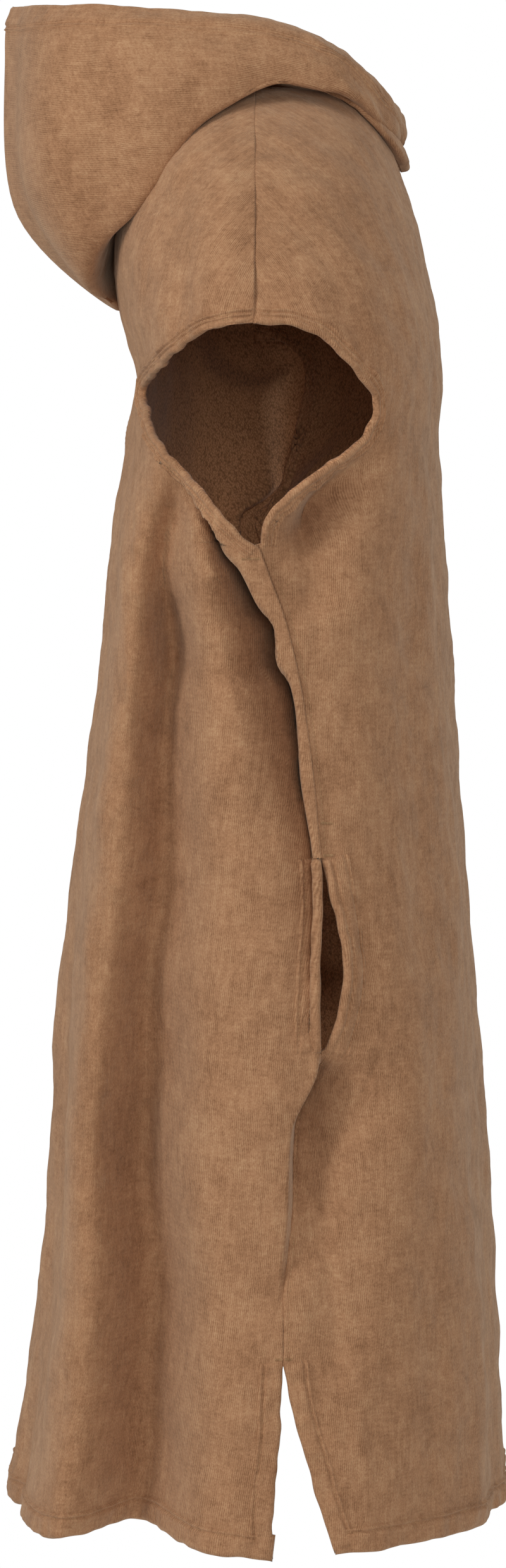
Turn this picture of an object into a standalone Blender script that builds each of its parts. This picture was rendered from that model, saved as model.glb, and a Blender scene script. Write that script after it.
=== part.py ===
# Hooded bath poncho in thick terry: a front and a back panel sewn at the
# shoulders and the sides, and a hood of two halves sewn round the neckline.
# It keeps the hollow form that it has when it is worn.
#
# The frame: the origin is at the middle of the neck, level with the neck ends
# of the shoulder seams. The wearer faces -Y, the wearer's right is -X, +Z is
# up. A "drop" is a distance straight down from the origin, and an "angle"
# runs round the body from 0 at the centre front to 180 at the centre back.
# Everything is in metres and degrees.

import math

import bpy
import numpy as np

# ---- Driving sizes ----
WALL = 0.003             # the cloth: velour outside, loops inside
TURNED_WALL = 0.0042     # the cloth where an edge is turned and stitched
SEAM_GAP = 0.0005        # between two pieces that are sewn together
LENGTH = 1.082           # neck point of the shoulder to the hem
HEM_DEPTH = 0.022        # turned hem at the bottom and down the vents
HEM_RISE = 0.0135        # how much higher the hem hangs away from the centre line
HEM_CORNER_DROP = 0.006  # the corners at the vents hang lower again
HEM_CORNER_WIDTH = 8.0   # degrees round the body over which they do
HEM_RISE_FROM = 0.90     # the drop from which the hem's curve builds up
HEM_RISE_POWER = 4       # how long the hem stays low near the centre line
NECK_HALF_WIDTH = 0.090
NECK_DROP_FRONT = 0.065
NECK_DROP_BACK = 0.020
SHOULDER_DROP = 0.180    # the outer end of the shoulder seam
HOOD_SEAM_RISE = 0.0036  # the hood starts this far above the neckline
HOOD_SEAM_REACH = 0.0020  # and this far outside it
ROUNDNESS_TOP = 2.15     # exponent of the section at the neck: 2 is an ellipse
ROUNDNESS_CHEST = 2.50
ROUNDNESS_HEM = 2.30
CHEST_DROP = 0.22
NEARLY_ALL = 0.9999      # the largest share of a section's reach that is asked for
HEM_SHARE = 1 / 3        # the largest share of a row that the turned edge takes
WELD_DECIMALS = 6        # points closer than this are one point
SHARP_ANGLE = 50         # degrees; edges sharper than this are shaded as edges

RIGHT = -1               # the wearer's right, on the -X side
LEFT = 1

# where two pieces are sewn together their ends are square to one of these axes
NOT_SEWN = -1
X_AXIS = 0
Y_AXIS = 1

COLUMNS_ACROSS_HALF = 15
HOOD_CELLS_ROUND = 18
HOOD_CELLS_UP = 15

CLOTH_COLOUR = (0.36, 0.20, 0.105, 1.0)
CLOTH_ROUGHNESS = 0.95

# ---- Sections of the body, one row for each level ----
# front and back are the depths in Y of the outer faces at the middle of the
# body, half_width is the reach in X, and middle is the Y of the widest point.
BODY_COLUMNS = ("drop", "front", "back", "half_width", "middle")
BODY_SECTIONS = (
    (0.000, -0.0830, 0.0620, 0.0900, 0.000),
    (0.020, -0.0925, 0.0785, 0.1350, 0.000),
    (0.045, -0.1025, 0.0900, 0.1780, 0.000),
    (0.080, -0.1160, 0.1025, 0.2180, 0.000),
    (0.120, -0.1262, 0.1075, 0.2500, 0.000),
    (0.165, -0.1355, 0.1035, 0.2770, 0.000),
    (0.220, -0.1410, 0.0905, 0.2860, -0.002),
    (0.255, -0.1392, 0.0955, 0.2800, -0.004),
    (0.340, -0.1438, 0.1100, 0.2650, -0.010),
    (0.420, -0.1492, 0.1172, 0.2590, -0.013),
    (0.550, -0.1575, 0.1345, 0.2590, -0.017),
    (0.700, -0.1700, 0.1515, 0.2630, -0.020),
    (0.850, -0.1815, 0.1620, 0.2680, -0.020),
    (0.970, -0.1900, 0.1745, 0.2730, -0.020),
    (1.082, -0.1945, 0.1915, 0.2760, -0.020),
)

# ---- Side edges, as the Y of each panel's edge at each level ----
EDGE_COLUMNS = ("drop", "front_edge", "back_edge")
ARMHOLE_RIGHT = (
    (0.1800, -0.0010, 0.0010),
    (0.1832, -0.0250, 0.0280),
    (0.1926, -0.0450, 0.0510),
    (0.2072, -0.0630, 0.0670),
    (0.2256, -0.0775, 0.0760),
    (0.2460, -0.0835, 0.0750),
    (0.2700, -0.0805, 0.0660),
    (0.2900, -0.0700, 0.0510),
    (0.3070, -0.0480, 0.0350),
    (0.3200, -0.0200, 0.0190),
    (0.3400, -0.0030, -0.0025),
)
ARMHOLE_LEFT = (
    (0.1800, -0.0010, 0.0010),
    (0.1832, -0.0260, -0.0120),
    (0.1926, -0.0400, -0.0350),
    (0.2072, -0.0420, -0.0480),
    (0.2256, -0.0400, -0.0500),
    (0.2460, -0.0370, -0.0480),
    (0.2700, -0.0320, -0.0420),
    (0.2900, -0.0270, -0.0340),
    (0.3070, -0.0220, -0.0240),
    (0.3200, -0.0120, -0.0120),
    (0.3400, -0.0030, -0.0030),
)
SIDE_SEAM = (
    (0.3400, -0.0030, -0.0030),
    (0.3650, -0.0120, -0.0120),
    (0.3850, -0.0195, -0.0195),
    (0.4200, -0.0285, -0.0285),
    (0.4580, -0.0356, -0.0356),
    (0.5100, -0.0420, -0.0420),
    (0.5630, -0.0470, -0.0470),
)
HAND_SLIT = (
    (0.5630, -0.0470, -0.0470),
    (0.5900, -0.0525, -0.0485),
    (0.6250, -0.0605, -0.0475),
    (0.6600, -0.0610, -0.0465),
    (0.6850, -0.0555, -0.0465),
    (0.7060, -0.0465, -0.0465),
)
SEAM_BELOW_SLIT = (
    (0.7060, -0.0465, -0.0465),
    (0.7290, -0.0410, -0.0410),
    (0.7583, -0.0290, -0.0290),
    (0.8200, -0.0267, -0.0267),
    (0.8700, -0.0213, -0.0213),
    (0.9280, -0.0200, -0.0200),
)
SIDE_VENT = (
    (0.9280, -0.0200, -0.0200),
    (0.9571, -0.0240, -0.0188),
    (0.9850, -0.0305, -0.0181),
    (1.0129, -0.0382, -0.0158),
    (1.0408, -0.0447, -0.0131),
    (1.0820, -0.0575, -0.0122),
)

# ---- Levels of the rows of each panel ----
NECK_STEPS_FRONT = (1, 14, 28, 42, 56, 70, 82, 90)    # degrees round the curve
NECK_STEPS_BACK = (1, 28, 55, 90)
SHOULDER_LEVELS_FRONT = (0.083, 0.105, 0.130, 0.156)
SHOULDER_LEVELS_BACK = (0.036, 0.056, 0.080, 0.105, 0.130, 0.156)
ARMHOLE_LEVELS = (0.180, 0.1832, 0.1926, 0.2072, 0.2256, 0.246, 0.270, 0.290, 0.307, 0.320)
SIDE_LEVELS = (0.340, 0.365, 0.394, 0.428, 0.470, 0.515, 0.563)
SLIT_LEVELS = (0.590, 0.625, 0.660, 0.706)
LOWER_LEVELS = (0.7583, 0.815, 0.870, 0.928)
VENT_LEVELS = (0.965, 1.000, 1.034, LENGTH - HEM_DEPTH, LENGTH)

# ---- The largest folds ----
# A fold is a soft trough, or a ridge where its depth is negative. It runs down
# one panel from one level and angle to another and fades out at both ends.
FRONT = "front"
BACK = "back"
FOLDS = (
    # panel, side, drop at its ends, angle at its ends, half its width in degrees, depth
    # trough behind the right side seam, under the ridge that carries the seam
    (BACK, RIGHT, 0.300, 0.660, 107, 100, 8.0, 0.018),
    (BACK, RIGHT, 0.330, 0.600, 94, 91, 6.0, -0.006),
    # the long trough down the right of the back
    (BACK, RIGHT, 0.260, 1.350, 124, 127, 9.0, 0.017),
    (BACK, RIGHT, 0.330, 0.900, 114, 111, 6.0, -0.005),
    (BACK, RIGHT, 0.800, 1.400, 107, 104, 8.0, -0.008),
    # two soft ridges over the right shoulder blade
    (BACK, RIGHT, 0.040, 0.190, 103, 100, 10.0, -0.005),
    (BACK, RIGHT, 0.060, 0.200, 128, 122, 10.0, 0.006),
    # the hollow under the front edge of the right armhole
    (FRONT, RIGHT, 0.290, 0.400, 72, 76, 9.0, 0.014),
    (FRONT, RIGHT, 0.300, 0.700, 45, 50, 9.0, 0.007),
    (FRONT, RIGHT, 0.660, 1.000, 78, 80, 7.0, 0.009),
    (FRONT, RIGHT, 0.780, 1.400, 52, 54, 10.0, 0.008),
    # the left side, which hangs in like folds
    (BACK, LEFT, 0.300, 0.700, 105, 100, 7.0, 0.016),
    (BACK, LEFT, 0.280, 1.350, 128, 124, 9.0, 0.015),
    (BACK, LEFT, 0.760, 1.400, 106, 108, 8.0, -0.007),
    (BACK, LEFT, 0.050, 0.190, 126, 122, 10.0, 0.006),
    (FRONT, LEFT, 0.300, 0.430, 74, 78, 9.0, 0.010),
    (FRONT, LEFT, 0.320, 0.760, 47, 52, 9.0, 0.008),
    (FRONT, LEFT, 0.700, 1.400, 58, 55, 10.0, 0.009),
    # the back edge of the left armhole hangs outside the front edge
    (BACK, LEFT, 0.160, 0.350, 80, 84, 22.0, -0.027),
    (FRONT, LEFT, 0.175, 0.345, 78, 84, 12.0, 0.006),
    # shallow waves down the middle of the back and of the front
    (BACK, RIGHT, 0.520, 1.400, 158, 160, 9.0, 0.006),
    (BACK, LEFT, 0.460, 1.400, 152, 156, 9.0, 0.007),
    (FRONT, RIGHT, 0.560, 1.400, 20, 24, 9.0, 0.005),
    (FRONT, LEFT, 0.500, 1.400, 24, 20, 9.0, 0.006),
)
FOLD_FADE = 0.30         # share of a fold's length in which it fades in or out
FOLD_FREE_MIDDLE = 15.0  # folds die out in this angle before the centre line

# ---- Sections of half the hood, from the centre front to the nape ----
# A section starts on the neckline, at a turn of so many degrees round its front
# or its back. Then come points across the section as (reach in X, Y, Z).
HOOD_SECTIONS = (
    # neckline, turn, start, tuck, lower roll, side, upper side, rim of the face opening
    (FRONT, 90, (0.000, -0.1165, -0.0590), (0.000, -0.1125, -0.0515), (0.000, -0.1145, -0.0430),
     (0.000, -0.1140, -0.0310), (0.000, -0.1110, -0.0240), (0.000, -0.1060, -0.0190)),
    (FRONT, 65, (0.043, -0.1105, -0.0535), (0.043, -0.1065, -0.0475), (0.050, -0.1070, -0.0390),
     (0.052, -0.1050, -0.0240), (0.048, -0.1010, -0.0130), (0.040, -0.0950, -0.0070)),
    (FRONT, 42, (0.072, -0.0995, -0.0385), (0.072, -0.0965, -0.0325), (0.080, -0.0945, -0.0290),
     (0.083, -0.0905, -0.0110), (0.076, -0.0870, 0.0020), (0.064, -0.0810, 0.0080)),
    (FRONT, 22, (0.0885, -0.0815, -0.0185), (0.091, -0.0800, -0.0130), (0.102, -0.0765, -0.0130),
     (0.106, -0.0710, 0.0030), (0.096, -0.0670, 0.0170), (0.080, -0.0610, 0.0235)),
    (FRONT, 8, (0.096, -0.0555, -0.0040), (0.102, -0.0550, -0.0020), (0.115, -0.0530, -0.0050),
     (0.121, -0.0480, 0.0120), (0.109, -0.0440, 0.0270), (0.091, -0.0400, 0.0345)),
    (FRONT, 1, (0.099, -0.0160, 0.0045), (0.109, -0.0140, 0.0040), (0.127, -0.0110, -0.0020),
     (0.133, -0.0060, 0.0170), (0.119, -0.0040, 0.0360), (0.100, -0.0020, 0.0465)),
    (BACK, 10, (0.099, 0.0320, 0.0020), (0.115, 0.0380, -0.0060), (0.139, 0.0480, -0.0220),
     (0.143, 0.0540, 0.0080), (0.128, 0.0540, 0.0360), (0.106, 0.0540, 0.0505)),
    (BACK, 35, (0.084, 0.0700, -0.0120), (0.106, 0.0860, -0.0430), (0.134, 0.0980, -0.0780),
     (0.141, 0.1060, -0.0150), (0.127, 0.1060, 0.0310), (0.103, 0.1020, 0.0540)),
    (BACK, 62, (0.050, 0.0950, -0.0360), (0.074, 0.1110, -0.0900), (0.096, 0.1190, -0.1320),
     (0.112, 0.1500, -0.0450), (0.102, 0.1530, 0.0260), (0.080, 0.1460, 0.0580)),
    (BACK, 90, (0.000, 0.1030, -0.0440), (0.000, 0.1150, -0.1150), (0.000, 0.1250, -0.1585),
     (0.000, 0.1810, -0.0800), (0.000, 0.1905, 0.0290), (0.000, 0.1840, 0.0635)),
)


def column(rows, names, name):
    """One named column of a table as an array."""
    place = names.index(name)
    return np.array([row[place] for row in rows], dtype=float)


def smooth_step(share):
    """Rises from 0 to 1 with level ends as share goes from 0 to 1."""
    share = np.clip(share, 0.0, 1.0)
    return share * share * (3.0 - 2.0 * share)


def smooth_curve(at, knots, values):
    """A cubic curve through a table's rows, with slopes taken from neighbouring rows."""
    slopes = np.gradient(values, knots, axis=0)
    at = np.clip(at, knots[0], knots[-1])
    cell = np.clip(np.searchsorted(knots, at, side="right") - 1, 0, len(knots) - 2)
    span = knots[cell + 1] - knots[cell]
    share = (at - knots[cell]) / span
    extra = (1,) * (values.ndim - 1)
    share = share.reshape(share.shape + extra)
    span = span.reshape(span.shape + extra)
    start = values[cell] * (1 + 2 * share) * (1 - share) ** 2
    end = values[cell + 1] * share ** 2 * (3 - 2 * share)
    lean = slopes[cell] * share * (1 - share) ** 2 - slopes[cell + 1] * share ** 2 * (1 - share)
    return start + end + span * lean


def body_size(name, drop):
    """One column of the body's sections at any level."""
    levels = column(BODY_SECTIONS, BODY_COLUMNS, "drop")
    return smooth_curve(drop, levels, column(BODY_SECTIONS, BODY_COLUMNS, name))


def section_at(drop):
    """Reach to the front, to the back and sideways, the middle and the roundness."""
    middle = body_size("middle", drop)
    to_front = middle - body_size("front", drop) - WALL / 2
    to_back = body_size("back", drop) - middle - WALL / 2
    sideways = body_size("half_width", drop) - WALL / 2
    above = ROUNDNESS_TOP + (ROUNDNESS_CHEST - ROUNDNESS_TOP) * smooth_step(drop / CHEST_DROP)
    below = (ROUNDNESS_HEM - ROUNDNESS_CHEST) * smooth_step((drop - CHEST_DROP) / LENGTH)
    return to_front, to_back, sideways, middle, above + below


def angle_at_depth(drop, y):
    """The angle round the body at which a section passes the given Y."""
    to_front, to_back, _, middle, power = section_at(drop)
    reach = np.where(y < middle, to_front, to_back)
    share = np.clip(np.abs(y - middle) / reach, 1 - NEARLY_ALL, NEARLY_ALL)
    lean = np.arctan(((1 - share ** power) / share ** power) ** (1 / power))
    return np.degrees(np.where(y < middle, lean, math.pi - lean))


def angle_at_reach(drop, x, panel):
    """The angle at which a section reaches x sideways, on its front or its back."""
    _, _, sideways, _, power = section_at(drop)
    share = np.clip(x / sideways, 0.0, NEARLY_ALL)
    lean = np.degrees(np.arctan((share ** power / (1 - share ** power)) ** (1 / power)))
    return lean if panel == FRONT else 180 - lean


def fold_depth(panel, side, drop, angle):
    """How far all the folds of one side push a point inwards."""
    total = np.zeros(np.broadcast(drop, angle).shape)
    for fold_panel, fold_side, top, bottom, start, end, half_width, depth in FOLDS:
        if fold_panel != panel or fold_side != side:
            continue
        along = (drop - top) / (bottom - top)
        fade = smooth_step(along / FOLD_FADE) * smooth_step((1 - along) / FOLD_FADE)
        centre = start + (end - start) * np.clip(along, 0, 1)
        total = total + depth * fade * np.exp(-((angle - centre) / half_width) ** 2)
    from_middle = np.minimum(angle, 180 - angle)
    return total * smooth_step(from_middle / FOLD_FREE_MIDDLE)


def body_point(panel, side, drop, angle):
    """Middle of the cloth at a level and an angle: a rounded section, then its folds."""
    to_front, to_back, sideways, middle, power = section_at(drop)
    turn = np.radians(angle)
    across = np.abs(np.sin(turn))
    along = np.abs(np.cos(turn))
    reach = (across ** power + along ** power) ** (-1 / power)
    depth = np.where(angle < 90, -to_front, to_back)
    normal_x = across ** (power - 1) / sideways
    normal_y = along ** (power - 1) / depth
    length = np.hypot(normal_x, normal_y)
    push = fold_depth(panel, side, drop, angle)
    x = sideways * reach * across - push * normal_x / length
    y = middle + depth * reach * along - push * normal_y / length
    corner = HEM_CORNER_DROP * np.exp(-((angle - 90) / HEM_CORNER_WIDTH) ** 2)
    rise = HEM_RISE * (1 - along ** HEM_RISE_POWER) - corner
    rise = rise * smooth_step((drop - HEM_RISE_FROM) / (LENGTH - HEM_RISE_FROM))
    return np.stack([side * x, y, rise - drop], axis=-1)


def edge_depth(panel, side, drop):
    """The Y of a panel's side edge: shoulder, armhole, seam, slit, seam and vent."""
    armhole = ARMHOLE_RIGHT if side == RIGHT else ARMHOLE_LEFT
    rows = ((0.0, 0.0, 0.0),) + armhole
    for stretch in (SIDE_SEAM, HAND_SLIT, SEAM_BELOW_SLIT, SIDE_VENT):
        rows = rows + stretch[1:]
    levels = column(rows, EDGE_COLUMNS, "drop")
    depths = column(rows, EDGE_COLUMNS, panel + "_edge")
    clear = -SEAM_GAP / 2 if panel == FRONT else SEAM_GAP / 2
    return np.interp(drop, levels, depths) + clear


def neck_reach(panel, drop):
    """Half the width of the neck opening at a level, 0 below it."""
    depth = NECK_DROP_FRONT if panel == FRONT else NECK_DROP_BACK
    share = np.clip(drop / depth, 0.0, 1.0)
    return NECK_HALF_WIDTH * np.sqrt(1 - share ** 2)


def panel_levels(panel):
    """The levels of a panel's rows, close together round the neckline."""
    depth = NECK_DROP_FRONT if panel == FRONT else NECK_DROP_BACK
    steps = NECK_STEPS_FRONT if panel == FRONT else NECK_STEPS_BACK
    shoulder = SHOULDER_LEVELS_FRONT if panel == FRONT else SHOULDER_LEVELS_BACK
    neck = tuple(depth * math.sin(math.radians(step)) for step in steps)
    lower = ARMHOLE_LEVELS + SIDE_LEVELS + SLIT_LEVELS + LOWER_LEVELS + VENT_LEVELS
    return np.array(neck + shoulder + lower)


def half_panel(panel, side):
    """Grid of points over one half of a panel, with the share of each turned edge."""
    drop = panel_levels(panel)
    middle_angle = 0.0 if panel == FRONT else 180.0
    start = angle_at_reach(drop, neck_reach(panel, drop), panel)
    start = np.where(neck_reach(panel, drop) > 0, start, middle_angle)
    end = angle_at_depth(drop, edge_depth(panel, side, drop))
    inner_columns = np.linspace(0, 1, COLUMNS_ACROSS_HALF)
    hem_angle = np.degrees(HEM_DEPTH / section_at(drop)[2])
    hem_angle = np.minimum(hem_angle, np.abs(start - end) * HEM_SHARE)
    last = end + np.sign(start - end) * hem_angle
    angle = start[:, None] + (last - start)[:, None] * inner_columns[None, :]
    angle = np.concatenate([angle, end[:, None]], axis=1)
    level = np.repeat(drop[:, None], angle.shape[1], axis=1)
    turned = np.zeros(level.shape)
    turned[-2:, :] = 1.0
    open_edge = (drop > SHOULDER_DROP) & ((drop < SIDE_LEVELS[0]) | (drop > LOWER_LEVELS[-1]))
    turned[open_edge, -1] = 1.0
    square = np.full(level.shape, NOT_SEWN)
    square[~open_edge, -1] = Y_AXIS
    return body_point(panel, side, level, angle), turned, square


def grid_faces(rows, columns, flip):
    """Quads of a grid of rows by columns, as rows of four corner numbers."""
    number = np.arange(rows * columns).reshape(rows, columns)
    corners = [number[:-1, :-1], number[1:, :-1], number[1:, 1:], number[:-1, 1:]]
    faces = np.stack(corners, axis=-1).reshape(-1, 4)
    return faces[:, ::-1] if flip else faces


def weld(points, faces):
    """Joins points that lie in the same place, as where two halves share a column."""
    keys = np.round(points, WELD_DECIMALS) + 0.0
    _, first, merged = np.unique(keys, axis=0, return_index=True, return_inverse=True)
    return first, merged.reshape(-1)[faces]


def point_normals(points, faces, square):
    """Unit normals, each the mean of its faces' normals, kept square to the seams."""
    corners = points[faces]
    face_normals = np.cross(corners[:, 2] - corners[:, 0], corners[:, 3] - corners[:, 1])
    normals = np.zeros_like(points)
    for place in range(4):
        np.add.at(normals, faces[:, place], face_normals)
    for axis in (X_AXIS, Y_AXIS):
        normals[square == axis, axis] = 0.0
    return normals / np.linalg.norm(normals, axis=1, keepdims=True)


def open_edges(faces):
    """Edges that only one face uses, each in that face's own direction."""
    starts = faces.reshape(-1)
    ends = np.roll(faces, -1, axis=1).reshape(-1)
    used = set(zip(starts.tolist(), ends.tolist()))
    return [(a, b) for a, b in used if (b, a) not in used]


def cloth_material(name):
    """Brown terry, quite matt."""
    material = bpy.data.materials.new(name + "_terry")
    material.use_nodes = True
    shader = material.node_tree.nodes["Principled BSDF"]
    shader.inputs["Base Color"].default_value = CLOTH_COLOUR
    shader.inputs["Roughness"].default_value = CLOTH_ROUGHNESS
    shader.inputs["Metallic"].default_value = 0.0
    return material


def cloth_piece(name, points, turned, square, faces, parent):
    """A closed wall of cloth round a grid: outer face, inner face and edges."""
    kept, faces = weld(points, faces)
    points = points[kept]
    half = (WALL + (TURNED_WALL - WALL) * turned[kept])[:, None] / 2
    normals = point_normals(points, faces, square[kept])
    count = len(points)
    outer = points + normals * half
    inner = points - normals * half
    edges = [(a, a + count, b + count, b) for a, b in open_edges(faces)]
    all_faces = faces.tolist() + (faces[:, ::-1] + count).tolist() + edges
    mesh = bpy.data.meshes.new(name)
    mesh.from_pydata(np.concatenate([outer, inner]).tolist(), [], all_faces)
    mesh.update()
    mesh.shade_smooth()
    mesh.set_sharp_from_angle(angle=math.radians(SHARP_ANGLE))
    mesh.materials.append(cloth_material(name))
    piece = bpy.data.objects.new(name, mesh)
    bpy.context.scene.collection.objects.link(piece)
    piece.parent = parent
    return piece


def make_panel(panel, parent):
    """A whole front or back: its two halves share the column at the middle."""
    halves = [half_panel(panel, side) for side in (RIGHT, LEFT)]
    rows, columns = halves[0][1].shape
    points = np.concatenate([half[0].reshape(-1, 3) for half in halves])
    turned = np.concatenate([half[1].reshape(-1) for half in halves])
    square = np.concatenate([half[2].reshape(-1) for half in halves])
    right_faces = grid_faces(rows, columns, flip=(panel == BACK))
    left_faces = grid_faces(rows, columns, flip=(panel == FRONT)) + rows * columns
    faces = np.concatenate([right_faces, left_faces])
    cloth_piece(panel + "_panel", points, turned, square, faces, parent)


def neck_point(panel, turn):
    """Where the hood starts, on the +X side: just above and outside the neckline."""
    depth = NECK_DROP_FRONT if panel == FRONT else NECK_DROP_BACK
    drop = np.array([depth * math.sin(math.radians(turn))])
    reach = NECK_HALF_WIDTH * math.cos(math.radians(turn))
    angle = angle_at_reach(drop, reach, panel)
    outwards = -HOOD_SEAM_REACH if panel == FRONT else HOOD_SEAM_REACH
    return body_point(panel, LEFT, drop, angle)[0] + np.array([0, outwards, HOOD_SEAM_RISE])


def make_hood_half(name, side, parent):
    """Half a hood: a smooth sheet through its sections, hollow between its two legs."""
    sections = []
    for panel, turn, *across in HOOD_SECTIONS:
        sections.append([neck_point(panel, turn)] + [np.array(point) for point in across])
    sheet = np.array(sections)
    round_neck = np.linspace(0, len(sheet) - 1, HOOD_CELLS_ROUND + 1)
    sheet = smooth_curve(round_neck, np.arange(len(sheet), dtype=float), sheet)
    sheet = sheet.transpose(1, 0, 2)
    up = np.linspace(0, len(sheet) - 1, HOOD_CELLS_UP + 1)
    sheet = smooth_curve(up, np.arange(len(sheet), dtype=float), sheet)
    sheet[..., 0] = side * np.maximum(sheet[..., 0], SEAM_GAP / 2)
    rows, columns = sheet.shape[:2]
    turned = np.zeros((rows, columns))
    turned[-2:, :] = 1.0
    square = np.full((rows, columns), NOT_SEWN)
    square[:, (0, -1)] = X_AXIS
    faces = grid_faces(rows, columns, flip=(side == LEFT))
    cloth_piece(name, sheet.reshape(-1, 3), turned.reshape(-1), square.reshape(-1), faces, parent)


def main():
    for old in list(bpy.data.objects):
        bpy.data.objects.remove(old)
    poncho = bpy.data.objects.new("poncho", None)
    bpy.context.scene.collection.objects.link(poncho)
    make_panel(FRONT, poncho)
    make_panel(BACK, poncho)
    make_hood_half("hood_right", RIGHT, poncho)
    make_hood_half("hood_left", LEFT, poncho)


main()
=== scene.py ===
# Adult's hooded bath poncho in terry velour, in the shape it has when it is worn
import math

import bmesh
import bpy
import numpy as np
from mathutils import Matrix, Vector


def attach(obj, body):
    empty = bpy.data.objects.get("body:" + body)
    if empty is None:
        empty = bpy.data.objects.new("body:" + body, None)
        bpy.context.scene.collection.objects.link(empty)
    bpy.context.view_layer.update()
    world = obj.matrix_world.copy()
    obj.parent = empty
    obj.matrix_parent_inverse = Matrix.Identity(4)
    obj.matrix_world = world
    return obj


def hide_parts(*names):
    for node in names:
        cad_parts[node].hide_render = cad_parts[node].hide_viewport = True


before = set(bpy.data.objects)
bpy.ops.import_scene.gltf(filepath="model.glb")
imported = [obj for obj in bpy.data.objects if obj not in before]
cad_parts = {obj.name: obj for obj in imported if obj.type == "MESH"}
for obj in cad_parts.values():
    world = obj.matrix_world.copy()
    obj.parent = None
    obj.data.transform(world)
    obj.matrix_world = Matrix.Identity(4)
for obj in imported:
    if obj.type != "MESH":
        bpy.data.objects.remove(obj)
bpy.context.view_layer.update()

print("frame loaded, nodes:", ", ".join(sorted(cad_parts)))

right = -1      # the wearer's right, on the -X side
left = 1
tau = 2 * math.pi


def smoothStep(share):
    # rises from 0 to 1 with level ends
    share = np.clip(share, 0.0, 1.0)
    return share * share * (3.0 - 2.0 * share)


def bell(distance, halfWidth):
    # 1 in the middle and falling off on both sides
    return np.exp(-(distance / halfWidth) ** 2)


def smoothCurve(at, knots, values):
    # cubic through rows of values, its slopes taken from the neighbouring rows,
    # and straight on past both ends
    slopes = np.gradient(values, knots, axis=0)
    beyond = at - np.clip(at, knots[0], knots[-1])
    at = at - beyond
    cell = np.clip(np.searchsorted(knots, at, side="right") - 1, 0, len(knots) - 2)
    span = knots[cell + 1] - knots[cell]
    share = (at - knots[cell]) / span
    extra = (1,) * (values.ndim - 1)
    share = share.reshape(share.shape + extra)
    span = span.reshape(span.shape + extra)
    beyond = beyond.reshape(beyond.shape + extra)
    start = values[cell] * (1 + 2 * share) * (1 - share) ** 2
    end = values[cell + 1] * share ** 2 * (3 - 2 * share)
    lean = slopes[cell] * share * (1 - share) ** 2 - slopes[cell + 1] * share ** 2 * (1 - share)
    return start + end + span * lean + beyond * slopes[np.where(at <= knots[0], 0, cell + 1)]


def softNoise(u, v, sizeU, sizeV, seed, waves=9):
    # a sum of plane waves with random headings and starts, about -1 to 1
    draw = np.random.default_rng(seed)
    total = np.zeros(np.broadcast(u, v).shape)
    for heading, start, stretch in draw.random((waves, 3)):
        turn = tau * heading
        size = 0.7 + 0.9 * stretch
        phase = (np.cos(turn) * u / sizeU + np.sin(turn) * v / sizeV) / size
        total = total + np.sin(tau * (phase + start))
    return total / math.sqrt(waves)


def unit(vectors):
    return vectors / np.maximum(np.linalg.norm(vectors, axis=-1, keepdims=True), 1e-12)


body = {
    "cadWall": 0.003,
    "length": 1.082,
    "neckHalfWidth": 0.090,
    "neckDrop": {"front": 0.065, "back": 0.020},
    "hemRise": 0.0135, "hemRisePower": 4, "hemRiseFrom": 0.90,
    "cornerDrop": 0.006, "cornerWidth": 8.0,
    "roundness": (2.15, 2.50, 2.30), "chestDrop": 0.22,
    "seamGap": 0.0006,
    # drop below the neck, front, back, half width, y of the widest point
    "sections": np.array([
        (0.000, -0.0830, 0.0620, 0.0900, 0.000),
        (0.020, -0.0925, 0.0785, 0.1350, 0.000),
        (0.045, -0.1025, 0.0900, 0.1780, 0.000),
        (0.080, -0.1160, 0.1025, 0.2180, 0.000),
        (0.120, -0.1262, 0.1075, 0.2500, 0.000),
        (0.165, -0.1355, 0.1035, 0.2770, 0.000),
        (0.220, -0.1410, 0.0905, 0.2860, -0.002),
        (0.255, -0.1392, 0.0955, 0.2800, -0.004),
        (0.340, -0.1438, 0.1100, 0.2650, -0.010),
        (0.420, -0.1492, 0.1172, 0.2590, -0.013),
        (0.550, -0.1575, 0.1345, 0.2590, -0.017),
        (0.700, -0.1700, 0.1515, 0.2630, -0.020),
        (0.850, -0.1815, 0.1620, 0.2680, -0.020),
        (0.970, -0.1900, 0.1745, 0.2730, -0.020),
        (1.082, -0.1945, 0.1915, 0.2760, -0.020),
    ]),
}

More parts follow.
